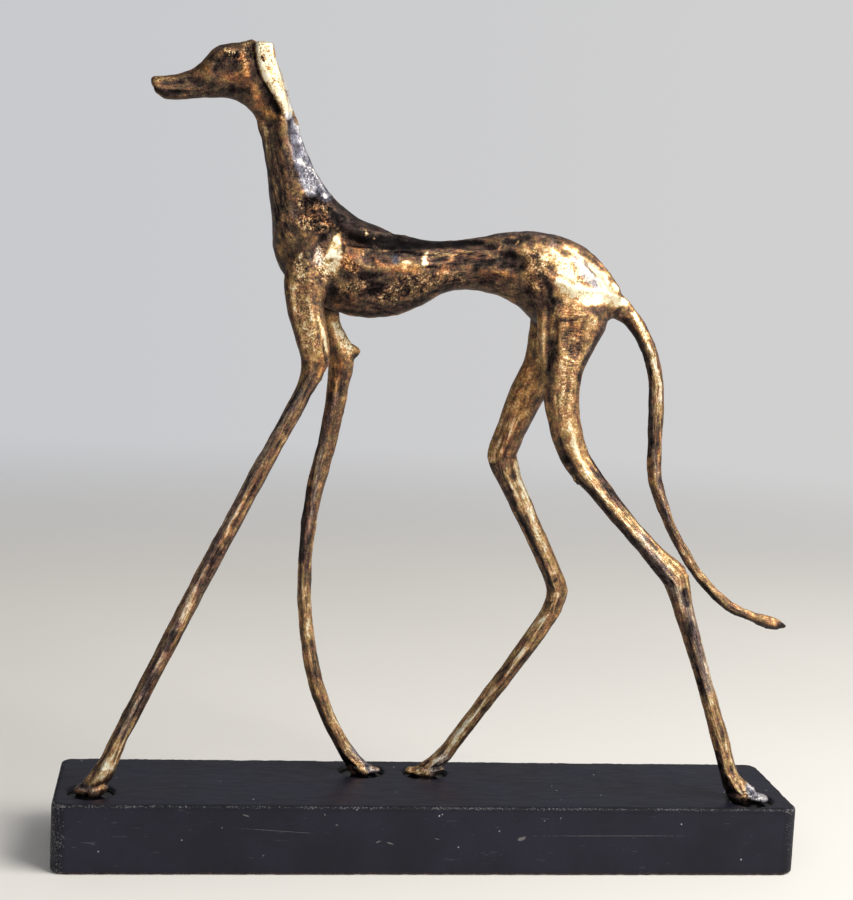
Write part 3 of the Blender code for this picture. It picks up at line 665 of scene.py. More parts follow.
        "ribs": (BODY, [
            (0.75, 8, (425, 257, 7), (450, 257, 8), (480, 255, 8)),
            (0.5, 8, (455, 278, 6), (490, 280, 6)),
        ]),
        "head": (BODY, [
            (0.4, 8, (165, 85, 8), (195, 83, 9)),
        ]),
        "foreleg": (LEFT_FRONT, [
            (0.75, 14, (310, 385, 9), (262, 468, 9), (200, 585, 9), (150, 680, 9), (100, 780, 12)),
        ]),
        "far_foreleg": (RIGHT_FRONT, [
            (0.75, 14, (335, 385, 9), (318, 440, 9), (304, 540, 9), (310, 640, 9), (345, 742, 9),
                (362, 768, 9)),
        ]),
        "hind_leg": (LEFT_HIND, [
            (0.75, 14, (590, 475, 12), (640, 540, 10), (680, 590, 9), (700, 660, 9), (720, 730, 9),
                (740, 785, 12)),
        ]),
        "far_hind_leg": (RIGHT_HIND, [
            (0.7, 14, (510, 425, 12), (500, 460, 9), (535, 540, 9), (555, 595, 8), (520, 655, 9),
                (470, 720, 9), (425, 770, 12)),
        ]),
        "tail": (TAIL, [
            (0.8, 10, (650, 350, 8), (657, 430, 8), (664, 505, 8), (700, 580, 8), (740, 608, 8)),
        ]),
    },
    "comb": {
        "thigh": ((LEFT_HIND, BODY), [
            (0.9, 8, (572, 320, 14), (574, 345, 12), (570, 380, 9)),
        ]),
        "rump": (BODY, [
            (0.5, 8, (540, 250, 10), (575, 275, 14)),
        ]),
        "back": (BODY, [
            (0.6, 8, (400, 252, 8), (450, 254, 8), (500, 262, 8)),
        ]),
        "ribs": (BODY, [
            (0.4, 8, (440, 275, 8), (500, 285, 6)),
        ]),
        "head": (BODY, [
            (0.35, 8, (230, 70, 10), (250, 90, 8)),
        ]),
    },
}

# The block's size and its four filled holes: x, y of each and of the foot in it
BLOCK_LOW, BLOCK_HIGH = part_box("plinth")
HOLES = {
    "left_front": ((-144.5, -15.5), (-146.0, -15.6)),
    "right_front": ((-27.0, 17.0), (-25.5, 17.0)),
    "left_hind": ((141.5, -20.0), (141.0, -20.0)),
    "right_hind": ((1.5, 15.5), (0.5, 15.5)),
}

# Scratches, specks and a chip on the block's front: x, z, half the length and height, and the slope
MARKS = (
    (38.1, 16.4, 1.8, 1.0, 0.25), (79.0, 17.8, 34.0, 0.1, 0.004), (-66.0, 19.4, 17.0, 0.09, -0.065),
    (-89.3, 20.6, 0.4, 0.45, 0.0), (-79.5, 26.0, 1.6, 0.3, -0.3), (-46.5, 26.6, 0.35, 0.4, 0.0),
    (-41.3, 22.1, 0.5, 0.35, 0.0), (-23.5, 14.8, 1.2, 0.35, 0.3), (-18.6, 14.2, 1.8, 0.4, -0.3),
    (1.7, 16.1, 1.3, 0.2, -0.2), (47.6, 24.4, 0.5, 0.35, 0.0), (54.5, 25.6, 0.4, 0.4, 0.0),
)

# The photograph's camera: its place in metres, its turns in degrees, and the picture's size and the focal
# length in pixels. One pixel shows about PIXEL_SIZE millimetres of the statue
CAMERA_PLACE = (-0.10751, -0.76205, 0.27488)
CAMERA_YAW, CAMERA_PITCH, CAMERA_ROLL = -7.5377, 7.1776, 2.7739
PHOTO_WIDTH, PHOTO_HEIGHT, FOCAL_LENGTH = 853, 900, 1800.0
SENSOR_WIDTH = 36.0
PIXEL_SIZE = 0.43


def camera_axes():
    """The directions across, up and into the photograph."""
    yaw, pitch, roll = (math.radians(angle) for angle in (CAMERA_YAW, CAMERA_PITCH, CAMERA_ROLL))
    right = Vector((math.cos(yaw), math.sin(yaw), 0))
    ahead = Vector((-math.sin(yaw) * math.cos(pitch), math.cos(yaw) * math.cos(pitch), -math.sin(pitch)))
    up = right.cross(ahead)
    across = right * math.cos(roll) + up * math.sin(roll)
    upward = up * math.cos(roll) - right * math.sin(roll)
    return across, upward, ahead


def shaded(tone, factor):
    """A colour made lighter or darker."""
    return tuple(channel * factor for channel in tone[:3]) + (1.0,)


def colour(name, text, default):
    """A colour property with an alpha of one."""
    return FloatVectorProperty(
        name=name, description=text, subtype="COLOR", size=4, min=0.0, max=2.0, default=default)


class CastingSettings(bpy.types.PropertyGroup):
    """Sizes and colours of the cast greyhound."""

    voxel: FloatProperty(
        name="Skin grid", description="Spacing of the grid on which the casting's skin is fused",
        default=0.86 * MM, min=0.4 * MM, max=3.0 * MM, subtype="DISTANCE", unit="LENGTH", precision=5)
    softening: IntProperty(
        name="Softening", description="How often the fused skin is smoothed", default=4, min=0, max=20)
    lumps: FloatProperty(
        name="Lumps", description="Height of the uneven hand-modelled surface",
        default=0.34 * MM, min=0.0, max=1.0 * MM, subtype="DISTANCE", unit="LENGTH", precision=5)
    ridges: FloatProperty(
        name="Tool ridges", description="Height of the lengthwise ridges on the legs and the tail",
        default=0.3 * MM, min=0.0, max=1.0 * MM, subtype="DISTANCE", unit="LENGTH", precision=5)
    # Painted highlight: pale gold is the top of the tone, where the strokes lay the brightest places
    pale_gold_and_highlight: colour("Pale gold", "Polished highlights", (0.95, 0.86, 0.63, 1.0))
    gold: colour("Gold", "Rubbed gold on the raised places", (0.64, 0.385, 0.158, 1.0))
    bronze: colour("Bronze", "Thin gold beside the rubbed places", (0.30, 0.165, 0.084, 1.0))
    patina: colour("Patina", "Brown between the gold", (0.108, 0.066, 0.050, 1.0))
    deep_patina: colour("Deep patina", "Dark brown in the hollows", (0.030, 0.020, 0.020, 1.0))
    black: colour("Black", "Black along the back", (0.005, 0.0035, 0.004, 1.0))
    olive: colour("Olive", "Greenish tint that comes and goes in the gold", (0.95, 1.03, 0.86, 1.0))
    orange: colour("Orange", "Reddish tint between the olive", (1.08, 0.94, 0.88, 1.0))
    rust: colour("Rust", "Orange brown tint of the rusty places", (1.25, 0.82, 0.55, 1.0))
    # The three greys paint reflection of the room, with painted glints at their pale end, and the silvery
    # grey of the feet
    deep_grey_and_reflection: colour("Deep grey", "Blue black between the grey", (0.030, 0.028, 0.036, 1.0))
    grey_and_reflection: colour("Grey", "Blue-grey shine on the neck and rump", (0.15, 0.155, 0.20, 1.0))
    pale_grey_and_reflection: colour("Pale grey", "Pale silver on the neck and rump", (0.48, 0.48, 0.50, 1.0))


class BlockSettings(bpy.types.PropertyGroup):
    """Sizes and colours of the painted block."""

    corner: FloatProperty(
        name="Corner radius", description="Radius of the block's four upright corners",
        default=6.0 * MM, min=0.5 * MM, max=20.0 * MM, subtype="DISTANCE", unit="LENGTH", precision=4)
    edge: FloatProperty(
        name="Edge radius", description="Radius of the block's top and bottom edges",
        default=1.3 * MM, min=0.2 * MM, max=5.0 * MM, subtype="DISTANCE", unit="LENGTH", precision=4)
    hole: FloatProperty(
        name="Hole radius", description="Radius of the hole round each foot",
        default=10.0 * MM, min=4.0 * MM, max=14.0 * MM, subtype="DISTANCE", unit="LENGTH", precision=4)
    sink: FloatProperty(
        name="Filler depth", description="How far the filler lies below the block's top",
        default=1.7 * MM, min=0.0, max=3.0 * MM, subtype="DISTANCE", unit="LENGTH", precision=4)
    voxel: FloatProperty(
        name="Skin grid", description="Spacing of the grid on which the block is rebuilt",
        default=0.9 * MM, min=0.5 * MM, max=4.0 * MM, subtype="DISTANCE", unit="LENGTH", precision=5)
    paint: colour("Paint", "Black satin paint", (0.0075, 0.0074, 0.0150, 1.0))
    worn: colour("Worn paint", "Grey of scuffs and scratches", (0.13, 0.125, 0.13, 1.0))
    bare: colour("Bare marks", "Pale grey of the chip and the long scratches", (0.22, 0.21, 0.20, 1.0))
    filler: colour("Filler", "Glossy black filler in the holes", (0.0015, 0.0015, 0.002, 1.0))
    wood: colour("Bare wood", "Reddish brown along the bottom edge", (0.20, 0.075, 0.04, 1.0))


class StageSettings(bpy.types.PropertyGroup):
    """The floor and the lights."""

    floor: colour("Floor", "Pale floor", (0.84, 0.815, 0.77, 1.0))
    key: FloatProperty(
        name="Key light", description="Power of the soft light at the upper right",
        default=26.0, min=0.0, max=200.0, unit="POWER")
    fill: FloatProperty(
        name="Fill light", description="Power of the broad light beside the camera",
        default=5.0, min=0.0, max=200.0, unit="POWER")
    sky: FloatProperty(
        name="Surroundings", description="Brightness of the room", default=0.62, min=0.0, max=3.0)


class Wire:
    """A socket that adds Math nodes when it stands in an expression."""

    def __init__(self, shader, socket):
        self.shader = shader
        self.socket = socket

    def math(self, operation, *values):
        return self.shader.node("ShaderNodeMath", {"operation": operation}, dict(enumerate(values)))

    def __add__(self, other):
        return self.math("ADD", self, other)

    __radd__ = __add__

    def __sub__(self, other):
        return self.math("SUBTRACT", self, other)

    def __rsub__(self, other):
        return self.math("SUBTRACT", other, self)

    def __mul__(self, other):
        return self.math("MULTIPLY", self, other)

    __rmul__ = __mul__

    def step(self, low, high):
        """Nothing below low, all above high, and soft between."""
        settings = {"interpolation_type": "SMOOTHSTEP"}
        sockets = {"Value": self, "From Min": low, "From Max": high}
        return self.shader.node("ShaderNodeMapRange", settings, sockets)


class Shader:
    """The node tree of a material or a world."""

    def __init__(self, owner):
        self.owner = owner
        self.owner.use_nodes = True
        self.tree = owner.node_tree
        self.tree.nodes.clear()

    def node(self, kind, settings=None, sockets=None, output=0):
        made = self.tree.nodes.new(kind)
        for name, value in (settings or {}).items():
            if name == "stops":
                self.set_stops(made.color_ramp, value)
            else:
                setattr(made, name, value)
        for name, value in (sockets or {}).items():
            if isinstance(value, Wire):
                self.tree.links.new(value.socket, made.inputs[name])
            else:
                made.inputs[name].default_value = value
        return Wire(self, made.outputs[output]) if made.outputs else None

    def set_stops(self, ramp, stops):
        for n, (position, shade) in enumerate(stops):
            stop = ramp.elements[n] if n < 2 else ramp.elements.new(position)
            stop.position = position
            stop.color = shade

    def ramp(self, factor, stops):
        return self.node("ShaderNodeValToRGB", {"stops": stops}, {"Fac": factor})

    def tint(self, shade, tone, amount):
        """The shade multiplied by a tone, as far as the amount says."""
        settings = {"data_type": "RGBA", "blend_type": "MULTIPLY"}
        return self.node("ShaderNodeMix", settings, {0: amount, 6: shade, 7: tone}, output=2)

    def place(self):
        """Where a point lies on the piece, in metres."""
        return self.node("ShaderNodeTexCoord", output="Object")

    def axes(self, vector):
        """The x, y and z of a vector."""
        return [self.node("ShaderNodeSeparateXYZ", {}, {0: vector}, output=axis) for axis in "XYZ"]

    def attribute(self, name, output="Fac"):
        return self.node("ShaderNodeAttribute", {"attribute_name": name}, output=output)

    def stretched(self, vector, scale, turn=(0, 0, 0)):
        sockets = {"Vector": vector, "Scale": scale, "Rotation": turn}
        return self.node("ShaderNodeMapping", {}, sockets)

    def noise(self, vector, scale, detail=2.0, roughness=0.55, distortion=0.0):
        sockets = {"Vector": vector, "Scale": scale, "Detail": detail}
        sockets.update({"Roughness": roughness, "Distortion": distortion})
        return self.node("ShaderNodeTexNoise", {"noise_dimensions": "3D"}, sockets)

    def cells(self, vector, scale):
        return self.node("ShaderNodeTexVoronoi", {"feature": "F1"}, {"Vector": vector, "Scale": scale})

    def mix(self, factor, first, second):
        """The first colour where factor is 0 and the second where it is 1."""
        sockets = {0: factor, 6: first, 7: second}
        return self.node("ShaderNodeMix", {"data_type": "RGBA"}, sockets, output=2)

    def bump(self, height, distance, strength=1.0):
        sockets = {"Height": height, "Distance": distance, "Strength": strength}
        return self.node("ShaderNodeBump", {}, sockets)

    def finish(self, sockets):
        """Puts one surface shader in front of the output and returns the material."""
        surface = self.node("ShaderNodeBsdfPrincipled", {}, sockets)
        self.node("ShaderNodeOutputMaterial", {}, {"Surface": surface})
        return self.owner


def gilded_patina(settings):
    """Gold rubbed over a dark brown casting, thin in the hollows and streaked along the limbs, with painted
    highlights and shade from the tone and painted reflection from the grey.
    """
    shader = Shader(bpy.data.materials.new("gilded_casting"))
    place = shader.place()
    grain = shader.attribute("grain", "Vector")
    streak, hollow = shader.attribute("streak"), shader.attribute("hollow")
    tone, crumb = shader.attribute("tone"), shader.attribute("crumb")
    rust, grey_and_reflection, comb = shader.attribute("rust"), shader.attribute("grey_and_reflection"), shader.attribute("comb")

    specks = shader.noise(place, 1050.0, 4.0, 0.6) - 0.5
    grit = shader.noise(place, 2300.0, 2.0, 0.5) - 0.5
    patches = shader.noise(place, 260.0, 3.0, 0.55) - 0.5
    lines = shader.noise(grain, 1500.0, 3.0, 0.6) - 0.5
    broad_lines = shader.noise(grain, 480.0, 3.0, 0.5) - 0.5
    combed = shader.noise(shader.stretched(place, (0.22, 1.0, 1.0)), 1250.0, 2.0, 0.5) - 0.5
    plain = 1.0 - streak
    fine = lines * streak * 1.35 + combed * comb
    fine = fine + specks * (0.5 + plain * 0.25 + crumb * 1.6) + grit * (0.5 + crumb * 0.7)
    broad = broad_lines * streak * 1.55 + patches * (0.45 + plain * 0.35 + crumb * 0.3)
    flakes = shader.noise(place, 1150.0, 4.0, 0.62, 0.4).step(0.55, 0.63)
    pits = shader.noise(place, 980.0, 4.0, 0.6, 0.5).step(0.57, 0.65)
    broken = flakes * (crumb * 0.26 + 0.05) - pits * (crumb * 0.22 + 0.09)
    # The tone brings painted highlights and painted shade into this lightness, and so into the colour ramp
    light = tone + (fine + broad + broken) * tone.step(-0.15, 0.3) + hollow * 0.15

    base = shader.ramp(light, (
        (0.0, settings.black), (0.2, settings.deep_patina), (0.42, settings.patina), (0.62, settings.bronze),
        (0.8, settings.gold), (1.0, settings.pale_gold_and_highlight)))
    hue = shader.noise(place, 330.0, 3.0, 0.55).step(0.4, 0.6)
    tinge = shader.mix(hue, tuple(settings.olive), tuple(settings.orange))
    base = shader.tint(base, tinge, 1.0 - light.step(0.62, 0.95) * 0.85)
    base = shader.tint(base, tuple(settings.rust), rust * (patches * 1.6 + 0.85))
    base = shader.tint(base, (0.97, 1.03, 1.16, 1.0), streak)
    # Grey where the grey strokes lie: mostly painted reflection of the room, with painted glints at the pale
    # end
    grey = shader.ramp(light, (
        (0.0, settings.black), (0.25, settings.deep_grey_and_reflection), (0.5, settings.grey_and_reflection), (0.8, settings.pale_grey_and_reflection),
        (1.0, (0.93, 0.92, 0.90, 1.0))))
    base = shader.mix(grey_and_reflection * (specks * 1.4 + 0.9), base, grey)
    metal = 0.78 + (1.0 - light.step(0.05, 0.3)) * 0.14
    rough = 0.5 - light.step(0.45, 0.95) * 0.13 + specks * 0.35 + crumb * 0.08
    height = fine * 0.9 + broad * 0.3
    return shader.finish({
        "Base Color": base,
        "Metallic": metal,
        "Roughness": rough,
        "Normal": shader.bump(height, 0.5 * MM, 0.8),
    })


def satin_paint(settings):
    """Black satin paint with scratches, dust and scuffed edges, and glossy filler in the holes."""
    shader = Shader(bpy.data.materials.new("black_paint"))
    place = shader.place()
    rim = shader.attribute("rim")
    filled = shader.attribute("filled")
    foot = shader.attribute("foot")
    cloud = shader.noise(place, 30.0, 4.0, 0.6)
    film = shader.noise(shader.stretched(place, (1.0, 4.0, 4.0)), 120.0, 4.0, 0.6)
    grit = shader.noise(place, 1500.0, 2.0, 0.6)
    lengthwise = shader.stretched(place, (12.0, 210.0, 210.0), (0.0, 0.08, 0.12))
    crosswise = shader.stretched(place, (190.0, 14.0, 190.0), (0.1, 0.0, 0.5))
    long_scratch = shader.noise(lengthwise, 9.0, 2.0, 0.5)
    cross_scratch = shader.noise(crosswise, 9.0, 2.0, 0.5)
    scratches = (long_scratch.step(0.715, 0.73) + cross_scratch.step(0.73, 0.745)) * cloud.step(0.42, 0.6)
    dusty = shader.noise(place, 60.0, 2.0).step(0.54, 0.62)
    dust = (1.0 - shader.cells(place, 190.0).step(0.05, 0.085)) * dusty
    scuff = (rim + (grit - 0.5) * 2.6 + (cloud - 0.5) * 1.6).step(0.96, 1.1)
    x, y, z = shader.axes(place)
    marks = 0.0
    for middle, height, half_x, half_z, slope in MARKS:
        aside = (x - middle * MM) * (1.0 / (half_x * MM))
        above = (z - height * MM - (x - middle * MM) * slope) * (1.0 / (half_z * MM))
        marks = (1.0 - (aside * aside + above * above + (grit - 0.5) * 2.4).step(0.4, 1.1)) + marks
    front = BLOCK_LOW.y
    marks = marks * (1.0 - y.step(front + 0.2 * MM, front + 0.7 * MM))

    base = shader.mix(cloud.step(0.35, 0.7), tuple(settings.paint), shaded(settings.paint, 1.7))
    base = shader.mix(rim * 0.7, base, tuple(settings.filler))
    base = shader.mix(scratches * 0.5, base, tuple(settings.worn))
    base = shader.mix(scuff * 0.8, base, tuple(settings.worn))
    base = shader.mix(dust * 0.8, base, (0.5, 0.5, 0.5, 1.0))
    base = shader.mix(marks * 0.55, base, tuple(settings.bare))
    base = shader.mix((foot + (grit - 0.5) * 0.8).step(0.75, 1.0) * 0.7, base, tuple(settings.wood))
    base = shader.mix(filled, base, tuple(settings.filler))
    rough = 0.4 + (film - 0.5) * 0.35 + (cloud - 0.5) * 0.2 + scratches * 0.2 + rim * 0.3 - filled * 0.16
    height = film * 0.6 + grit * (rim * 2.6 + 0.12) - scratches * 0.5 - marks * 0.5
    return shader.finish({
        "Base Color": base,
        "Roughness": rough,
        "Normal": shader.bump(height, 0.12 * MM, 0.7),
        "Specular IOR Level": 0.24,
    })


def pale_floor(settings):
    """A pale floor that fades into the room far from the statue."""
    shader = Shader(bpy.data.materials.new("pale_floor"))
    place = shader.place()
    near, far = 0.45, 1.5
    reach = shader.node("ShaderNodeVectorMath", {"operation": "LENGTH"}, {0: place}, output="Value")
    cloud = shader.noise(place, 3.0, 3.0, 0.5)
    base = shader.mix(cloud.step(0.3, 0.7), tuple(settings.floor), shaded(settings.floor, 0.97))
    return shader.finish({
        "Base Color": base,
        "Roughness": 0.75,
        "Alpha": 1.0 - reach.step(near, far),
    })


def smooth_step(values):
    values = np.clip(values, 0.0, 1.0)
    return values * values * (3.0 - 2.0 * values)


class Skin:
    """A piece's points in millimetres, with what the relief and the strokes need to know about each."""

    def __init__(self, piece):
        self.mesh = piece.data
        self.count = len(self.mesh.vertices)
        flat = np.empty(self.count * 3)
        self.mesh.vertices.foreach_get("co", flat)
        self.co = flat.reshape(-1, 3) / MM
        ends = np.empty(len(self.mesh.edges) * 2, dtype=np.int64)
        self.mesh.edges.foreach_get("vertices", ends)
        self.ends = ends.reshape(-1, 2)
        self.degree = np.bincount(self.ends.ravel(), minlength=self.count)

    def write(self):
        """Puts the points back into the mesh and updates it."""
        self.mesh.vertices.foreach_set("co", (self.co * MM).ravel())
        self.mesh.update()

    def normals(self):
        self.write()
        flat = np.empty(self.count * 3)
        self.mesh.vertex_normals.foreach_get("vector", flat)
        return flat.reshape(-1, 3)

    def spread(self, values, rounds):
        """Averages each point's values with its neighbours', some rounds over."""
        values = np.array(values, dtype=float).reshape(self.count, -1)
        first, second = self.ends[:, 0], self.ends[:, 1]
        for _ in range(rounds):
            total = np.zeros_like(values)
            for axis in range(values.shape[1]):
                total[:, axis] = (
                    np.bincount(first, values[second, axis], self.count)
                    + np.bincount(second, values[first, axis], self.count))
            values = (values + total / self.degree[:, None]) / 2
        return values.squeeze()

    def noise(self, size, seed, where=None):
        """Smooth noise from about -1 to 1 whose lumps are about size millimetres across."""
        points = (self.co if where is None else where) / size + seed
        return np.array([noise.noise(Vector(point)) for point in points]) * 1.6

    def store(self, name, values):
        values = np.asarray(values, dtype=np.float32)
        kind, field = ("FLOAT_VECTOR", "vector") if values.ndim == 2 else ("FLOAT", "value")
        made = self.mesh.attributes.new(name, kind, "POINT")
        made.data.foreach_set(field, values.ravel())


class CastingSkin(Skin):
    """The casting's skin, which also knows the part that each point belongs to and how far along it lies."""

    def __init__(self, piece):
        super().__init__(piece)
        self.nearness = np.full((len(MIDDLE_LINES), self.count), np.inf)
        sections = []
        for part, line in MIDDLE_LINES.items():
            section, self.nearness[part] = self.beside(np.array(line, dtype=float))
            sections.append(section)
        self.part = self.nearness.argmin(axis=0)
        section = np.choose(self.part[:, None], sections)
        self.local, self.across_axis, self.side_axis = section[:, :3], section[:, 3:6], section[:, 6:]
        aside = self.local[:, 1:2] * self.across_axis + self.local[:, 2:] * self.side_axis
        self.middle_y = self.co[:, 1] - aside[:, 1]
        self.grain = self.local * np.array(GRAIN_SHAPE) + self.part[:, None] * GRAIN_SPACING
        ordered = np.sort(self.nearness, axis=0)
        self.sureness = smooth_step((ordered[1] - ordered[0]) / 0.5)
        self.wobble = self.noise(3.2, 11.0) * 0.7 + self.noise(1.4, 23.0) * 0.35

    def beside(self, line):
        """Each point's place along and across a middle line with those axes, and its distance in radii."""
        stations, radii = line[:, :3], line[:, 3]
        steps = np.diff(stations, axis=0)
        lengths = np.linalg.norm(steps, axis=1)
        starts = np.concatenate([[0.0], np.cumsum(lengths)])
        headings = steps / lengths[:, None]
        turned = np.vstack([headings[:1], (headings[:-1] + headings[1:]) / 2, headings[-1:]])
        best = np.full(self.count, np.inf)
        section = np.zeros((self.count, 9))
        for n, (start, step, length) in enumerate(zip(stations, steps, lengths)):
            share = np.clip((self.co - start) @ step / length ** 2, 0.0, 1.0)
            away = self.co - (start + share[:, None] * step)
            radius = radii[n] + share * (radii[n + 1] - radii[n])
            distance = np.linalg.norm(away, axis=1) / radius
            closer = distance < best
            heading = turned[n] + share[:, None] * (turned[n + 1] - turned[n])
            heading /= np.linalg.norm(heading, axis=1)[:, None]
            side = np.array([0.0, 1.0, 0.0]) - heading * heading[:, 1:2]
            side /= np.linalg.norm(side, axis=1)[:, None]
            across = np.cross(side, heading)
            off_across, off_side = (away * across).sum(axis=1), (away * side).sum(axis=1)
            found = np.column_stack([starts[n] + share * length, off_across, off_side, across, side])
            section[closer] = found[closer]
            best[closer] = distance[closer]
        return section, best

    def in_photo(self):
        """Where each point lies in the photograph, in pixels. A right half takes its left half's place."""
        near = self.co.copy()
        near[:, 1] = self.middle_y - np.abs(self.co[:, 1] - self.middle_y)
        across, upward, ahead = (np.array(axis) for axis in camera_axes())
        sight = near * MM - np.array(CAMERA_PLACE)
        scale = FOCAL_LENGTH / (sight @ ahead)
        return np.column_stack([
            PHOTO_WIDTH / 2 + scale * (sight @ across), PHOTO_HEIGHT / 2 - scale * (sight @ upward)])

    def cover(self, plane, parts, soft, points, side=0, wobble=1.0):
        """How fully a stroke through the given places and half widths covers each of the plane's points."""
        x, z = plane.T
        reach = np.full(self.count, np.inf)
        chain = points if len(points) > 1 else points * 2
        for (x0, z0, w0), (x1, z1, w1) in zip(chain, chain[1:]):
            length = max((x1 - x0) ** 2 + (z1 - z0) ** 2, 1e-6)
            share = np.clip(((x - x0) * (x1 - x0) + (z - z0) * (z1 - z0)) / length, 0.0, 1.0)
            away = np.hypot(x - x0 - share * (x1 - x0), z - z0 - share * (z1 - z0))
            reach = np.minimum(reach, away - (w0 + share * (w1 - w0)))
        covered = smooth_step(0.5 - (reach + self.wobble * min(soft, 1.6) * 0.5 * wobble) / soft)
        mine = np.isin(self.part, parts)
        if side:
            mine &= self.co[:, 1] * side > 0
        return covered * mine

    def whittle(self, part, degrees, depth, sway):
        """Pares a limb flat along one side of its section, turning a little as the knife goes down."""
        sway_length, fade_length, spacing = 17.0, 12.0, 2.5
        mine = np.flatnonzero((self.part == part) & (self.co[:, 2] > PARED_ABOVE))
        along, across, side = self.local[mine].T
        turn = np.radians(degrees + sway * np.sin(along / sway_length + degrees))
        facing = np.cos(turn)[:, None] * self.across_axis[mine] + np.sin(turn)[:, None] * self.side_axis[mine]
        reach = across * np.cos(turn) + side * np.sin(turn)
        slot = (along / spacing).astype(int)
        furthest = np.full(slot.max() + 1, np.nan)
        for n in np.unique(slot):
            furthest[n] = np.percentile(reach[slot == n], 98)
        known = np.flatnonzero(~np.isnan(furthest))
        furthest = np.interp(np.arange(len(furthest)), known, furthest[known])
        furthest = np.convolve(np.pad(furthest, 2, mode="edge"), np.array([1, 2, 3, 2, 1]) / 9, mode="valid")
        limit = np.interp(along / spacing - 0.5, np.arange(len(furthest)), furthest) * (1.0 - depth)
        fade = self.sureness[mine] * smooth_step((along - PARED_FROM[part]) / fade_length)
        self.co[mine] -= facing * (np.maximum(reach - limit, 0.0) * fade)[:, None]

    def shave(self, x, z, facing, length, width, direction, depth, side):
        """Cuts a flat place into one flank, as a knife does."""
        facing = np.array([facing[0], facing[1] * -side, facing[2]])
        facing /= np.linalg.norm(facing)
        search, deepest, fill = 1.6, 2.2, 0.45 * depth
        near = (np.hypot(self.co[:, 0] - x, self.co[:, 2] - z) < search) & (self.co[:, 1] * side > 0)
        if not near.any():
            raise RuntimeError(f"no skin at {x}, {z}")
        candidates = np.flatnonzero(near)
        touch = self.co[candidates[np.argmax(self.co[candidates, 1] * side)]]
        turn = math.radians(direction)
        dx, dz = self.co[:, 0] - x, self.co[:, 2] - z
        along = (dx * math.cos(turn) + dz * math.sin(turn)) / length
        across = (dz * math.cos(turn) - dx * math.sin(turn)) / width
        inside = smooth_step((1.25 - np.hypot(along, across)) / 0.4) * (self.co[:, 1] * side > -1.0)
        above = (self.co - touch) @ facing + depth
        raised = np.maximum(above, -fill) * smooth_step((2 * fill + above) / fill)
        moved = np.where(above > 0, np.minimum(above, deepest), raised)
        self.co -= facing * (moved * inside)[:, None]


def deselect():
    if bpy.context.object and bpy.context.object.mode != "OBJECT":
        bpy.ops.object.mode_set(mode="OBJECT")
    bpy.ops.object.select_all(action="DESELECT")


def make_active(piece):
    deselect()
    piece.select_set(True)
    bpy.context.view_layer.objects.active = piece


def apply_modifier(piece, kind, **settings):
    make_active(piece)
    modifier = piece.modifiers.new(kind.lower(), kind)
    for name, value in settings.items():
        setattr(modifier, name, value)
    bpy.ops.object.modifier_apply(modifier=modifier.name)


def apply_place(piece):
    make_active(piece)
    bpy.ops.object.transform_apply(location=True, rotation=True, scale=True)


def give_material(piece, material):
    """Shades a piece smooth, with one material all over."""
    make_active(piece)
    bpy.ops.object.shade_smooth()
    piece.data.materials.clear()
    piece.data.materials.append(material)


def add_blob(x, y, z, half_x, half_y, half_z, turn):
    """A small smooth lump, which is fused with the casting later."""
    deselect()
    bpy.ops.mesh.primitive_ico_sphere_add(
        subdivisions=3, radius=1.0, location=(x * MM, y * MM, z * MM), rotation=(0, math.radians(turn), 0),
        scale=(half_x * MM, half_y * MM, half_z * MM))
    made = bpy.context.object
    apply_place(made)
    return made


def add_ear(side):
    """One ear: a plane cut to the ear's outline, thickened and laid against the neck."""
    thickness, tilt, lean = 2.0, 0.12, 0.055
    inner = 5.6
    deselect()
    bpy.ops.mesh.primitive_circle_add(
        vertices=len(EAR_OUTLINE), radius=1.0, fill_type="NGON", rotation=(math.pi / 2, 0, 0))
    made = bpy.context.object
    apply_place(made)
    front_x, top_z = EAR_OUTLINE[0]
    for vert, (x, z) in zip(made.data.vertices, EAR_OUTLINE):
        out = inner + (top_z - z) * lean * -0.3 + (front_x - x) * tilt
        vert.co = (x * MM, side * out * MM, z * MM)
    make_active(made)
    bpy.ops.object.mode_set(mode="EDIT")
    bpy.ops.mesh.select_all(action="SELECT")
    bpy.ops.mesh.extrude_region_move(TRANSFORM_OT_translate={"value": (0, side * thickness * MM, 0)})
    bpy.ops.mesh.select_all(action="SELECT")
    bpy.ops.mesh.normals_make_consistent(inside=False)
    bpy.ops.object.mode_set(mode="OBJECT")
    return made


def casting_copy():
    """A merged copy of the CAD casting, ready to be worked on."""
    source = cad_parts["greyhound"]
    deselect()
    bpy.ops.mesh.primitive_cube_add(size=MM)
    made = bpy.context.object
    made.name = "greyhound_casting"
    made.data = source.data.copy()
    made.data.materials.clear()
    make_active(made)
    bpy.ops.object.mode_set(mode="EDIT")
    bpy.ops.mesh.select_all(action="SELECT")
    bpy.ops.mesh.remove_doubles(threshold=0.005 * MM)
    bpy.ops.object.mode_set(mode="OBJECT")
    return made


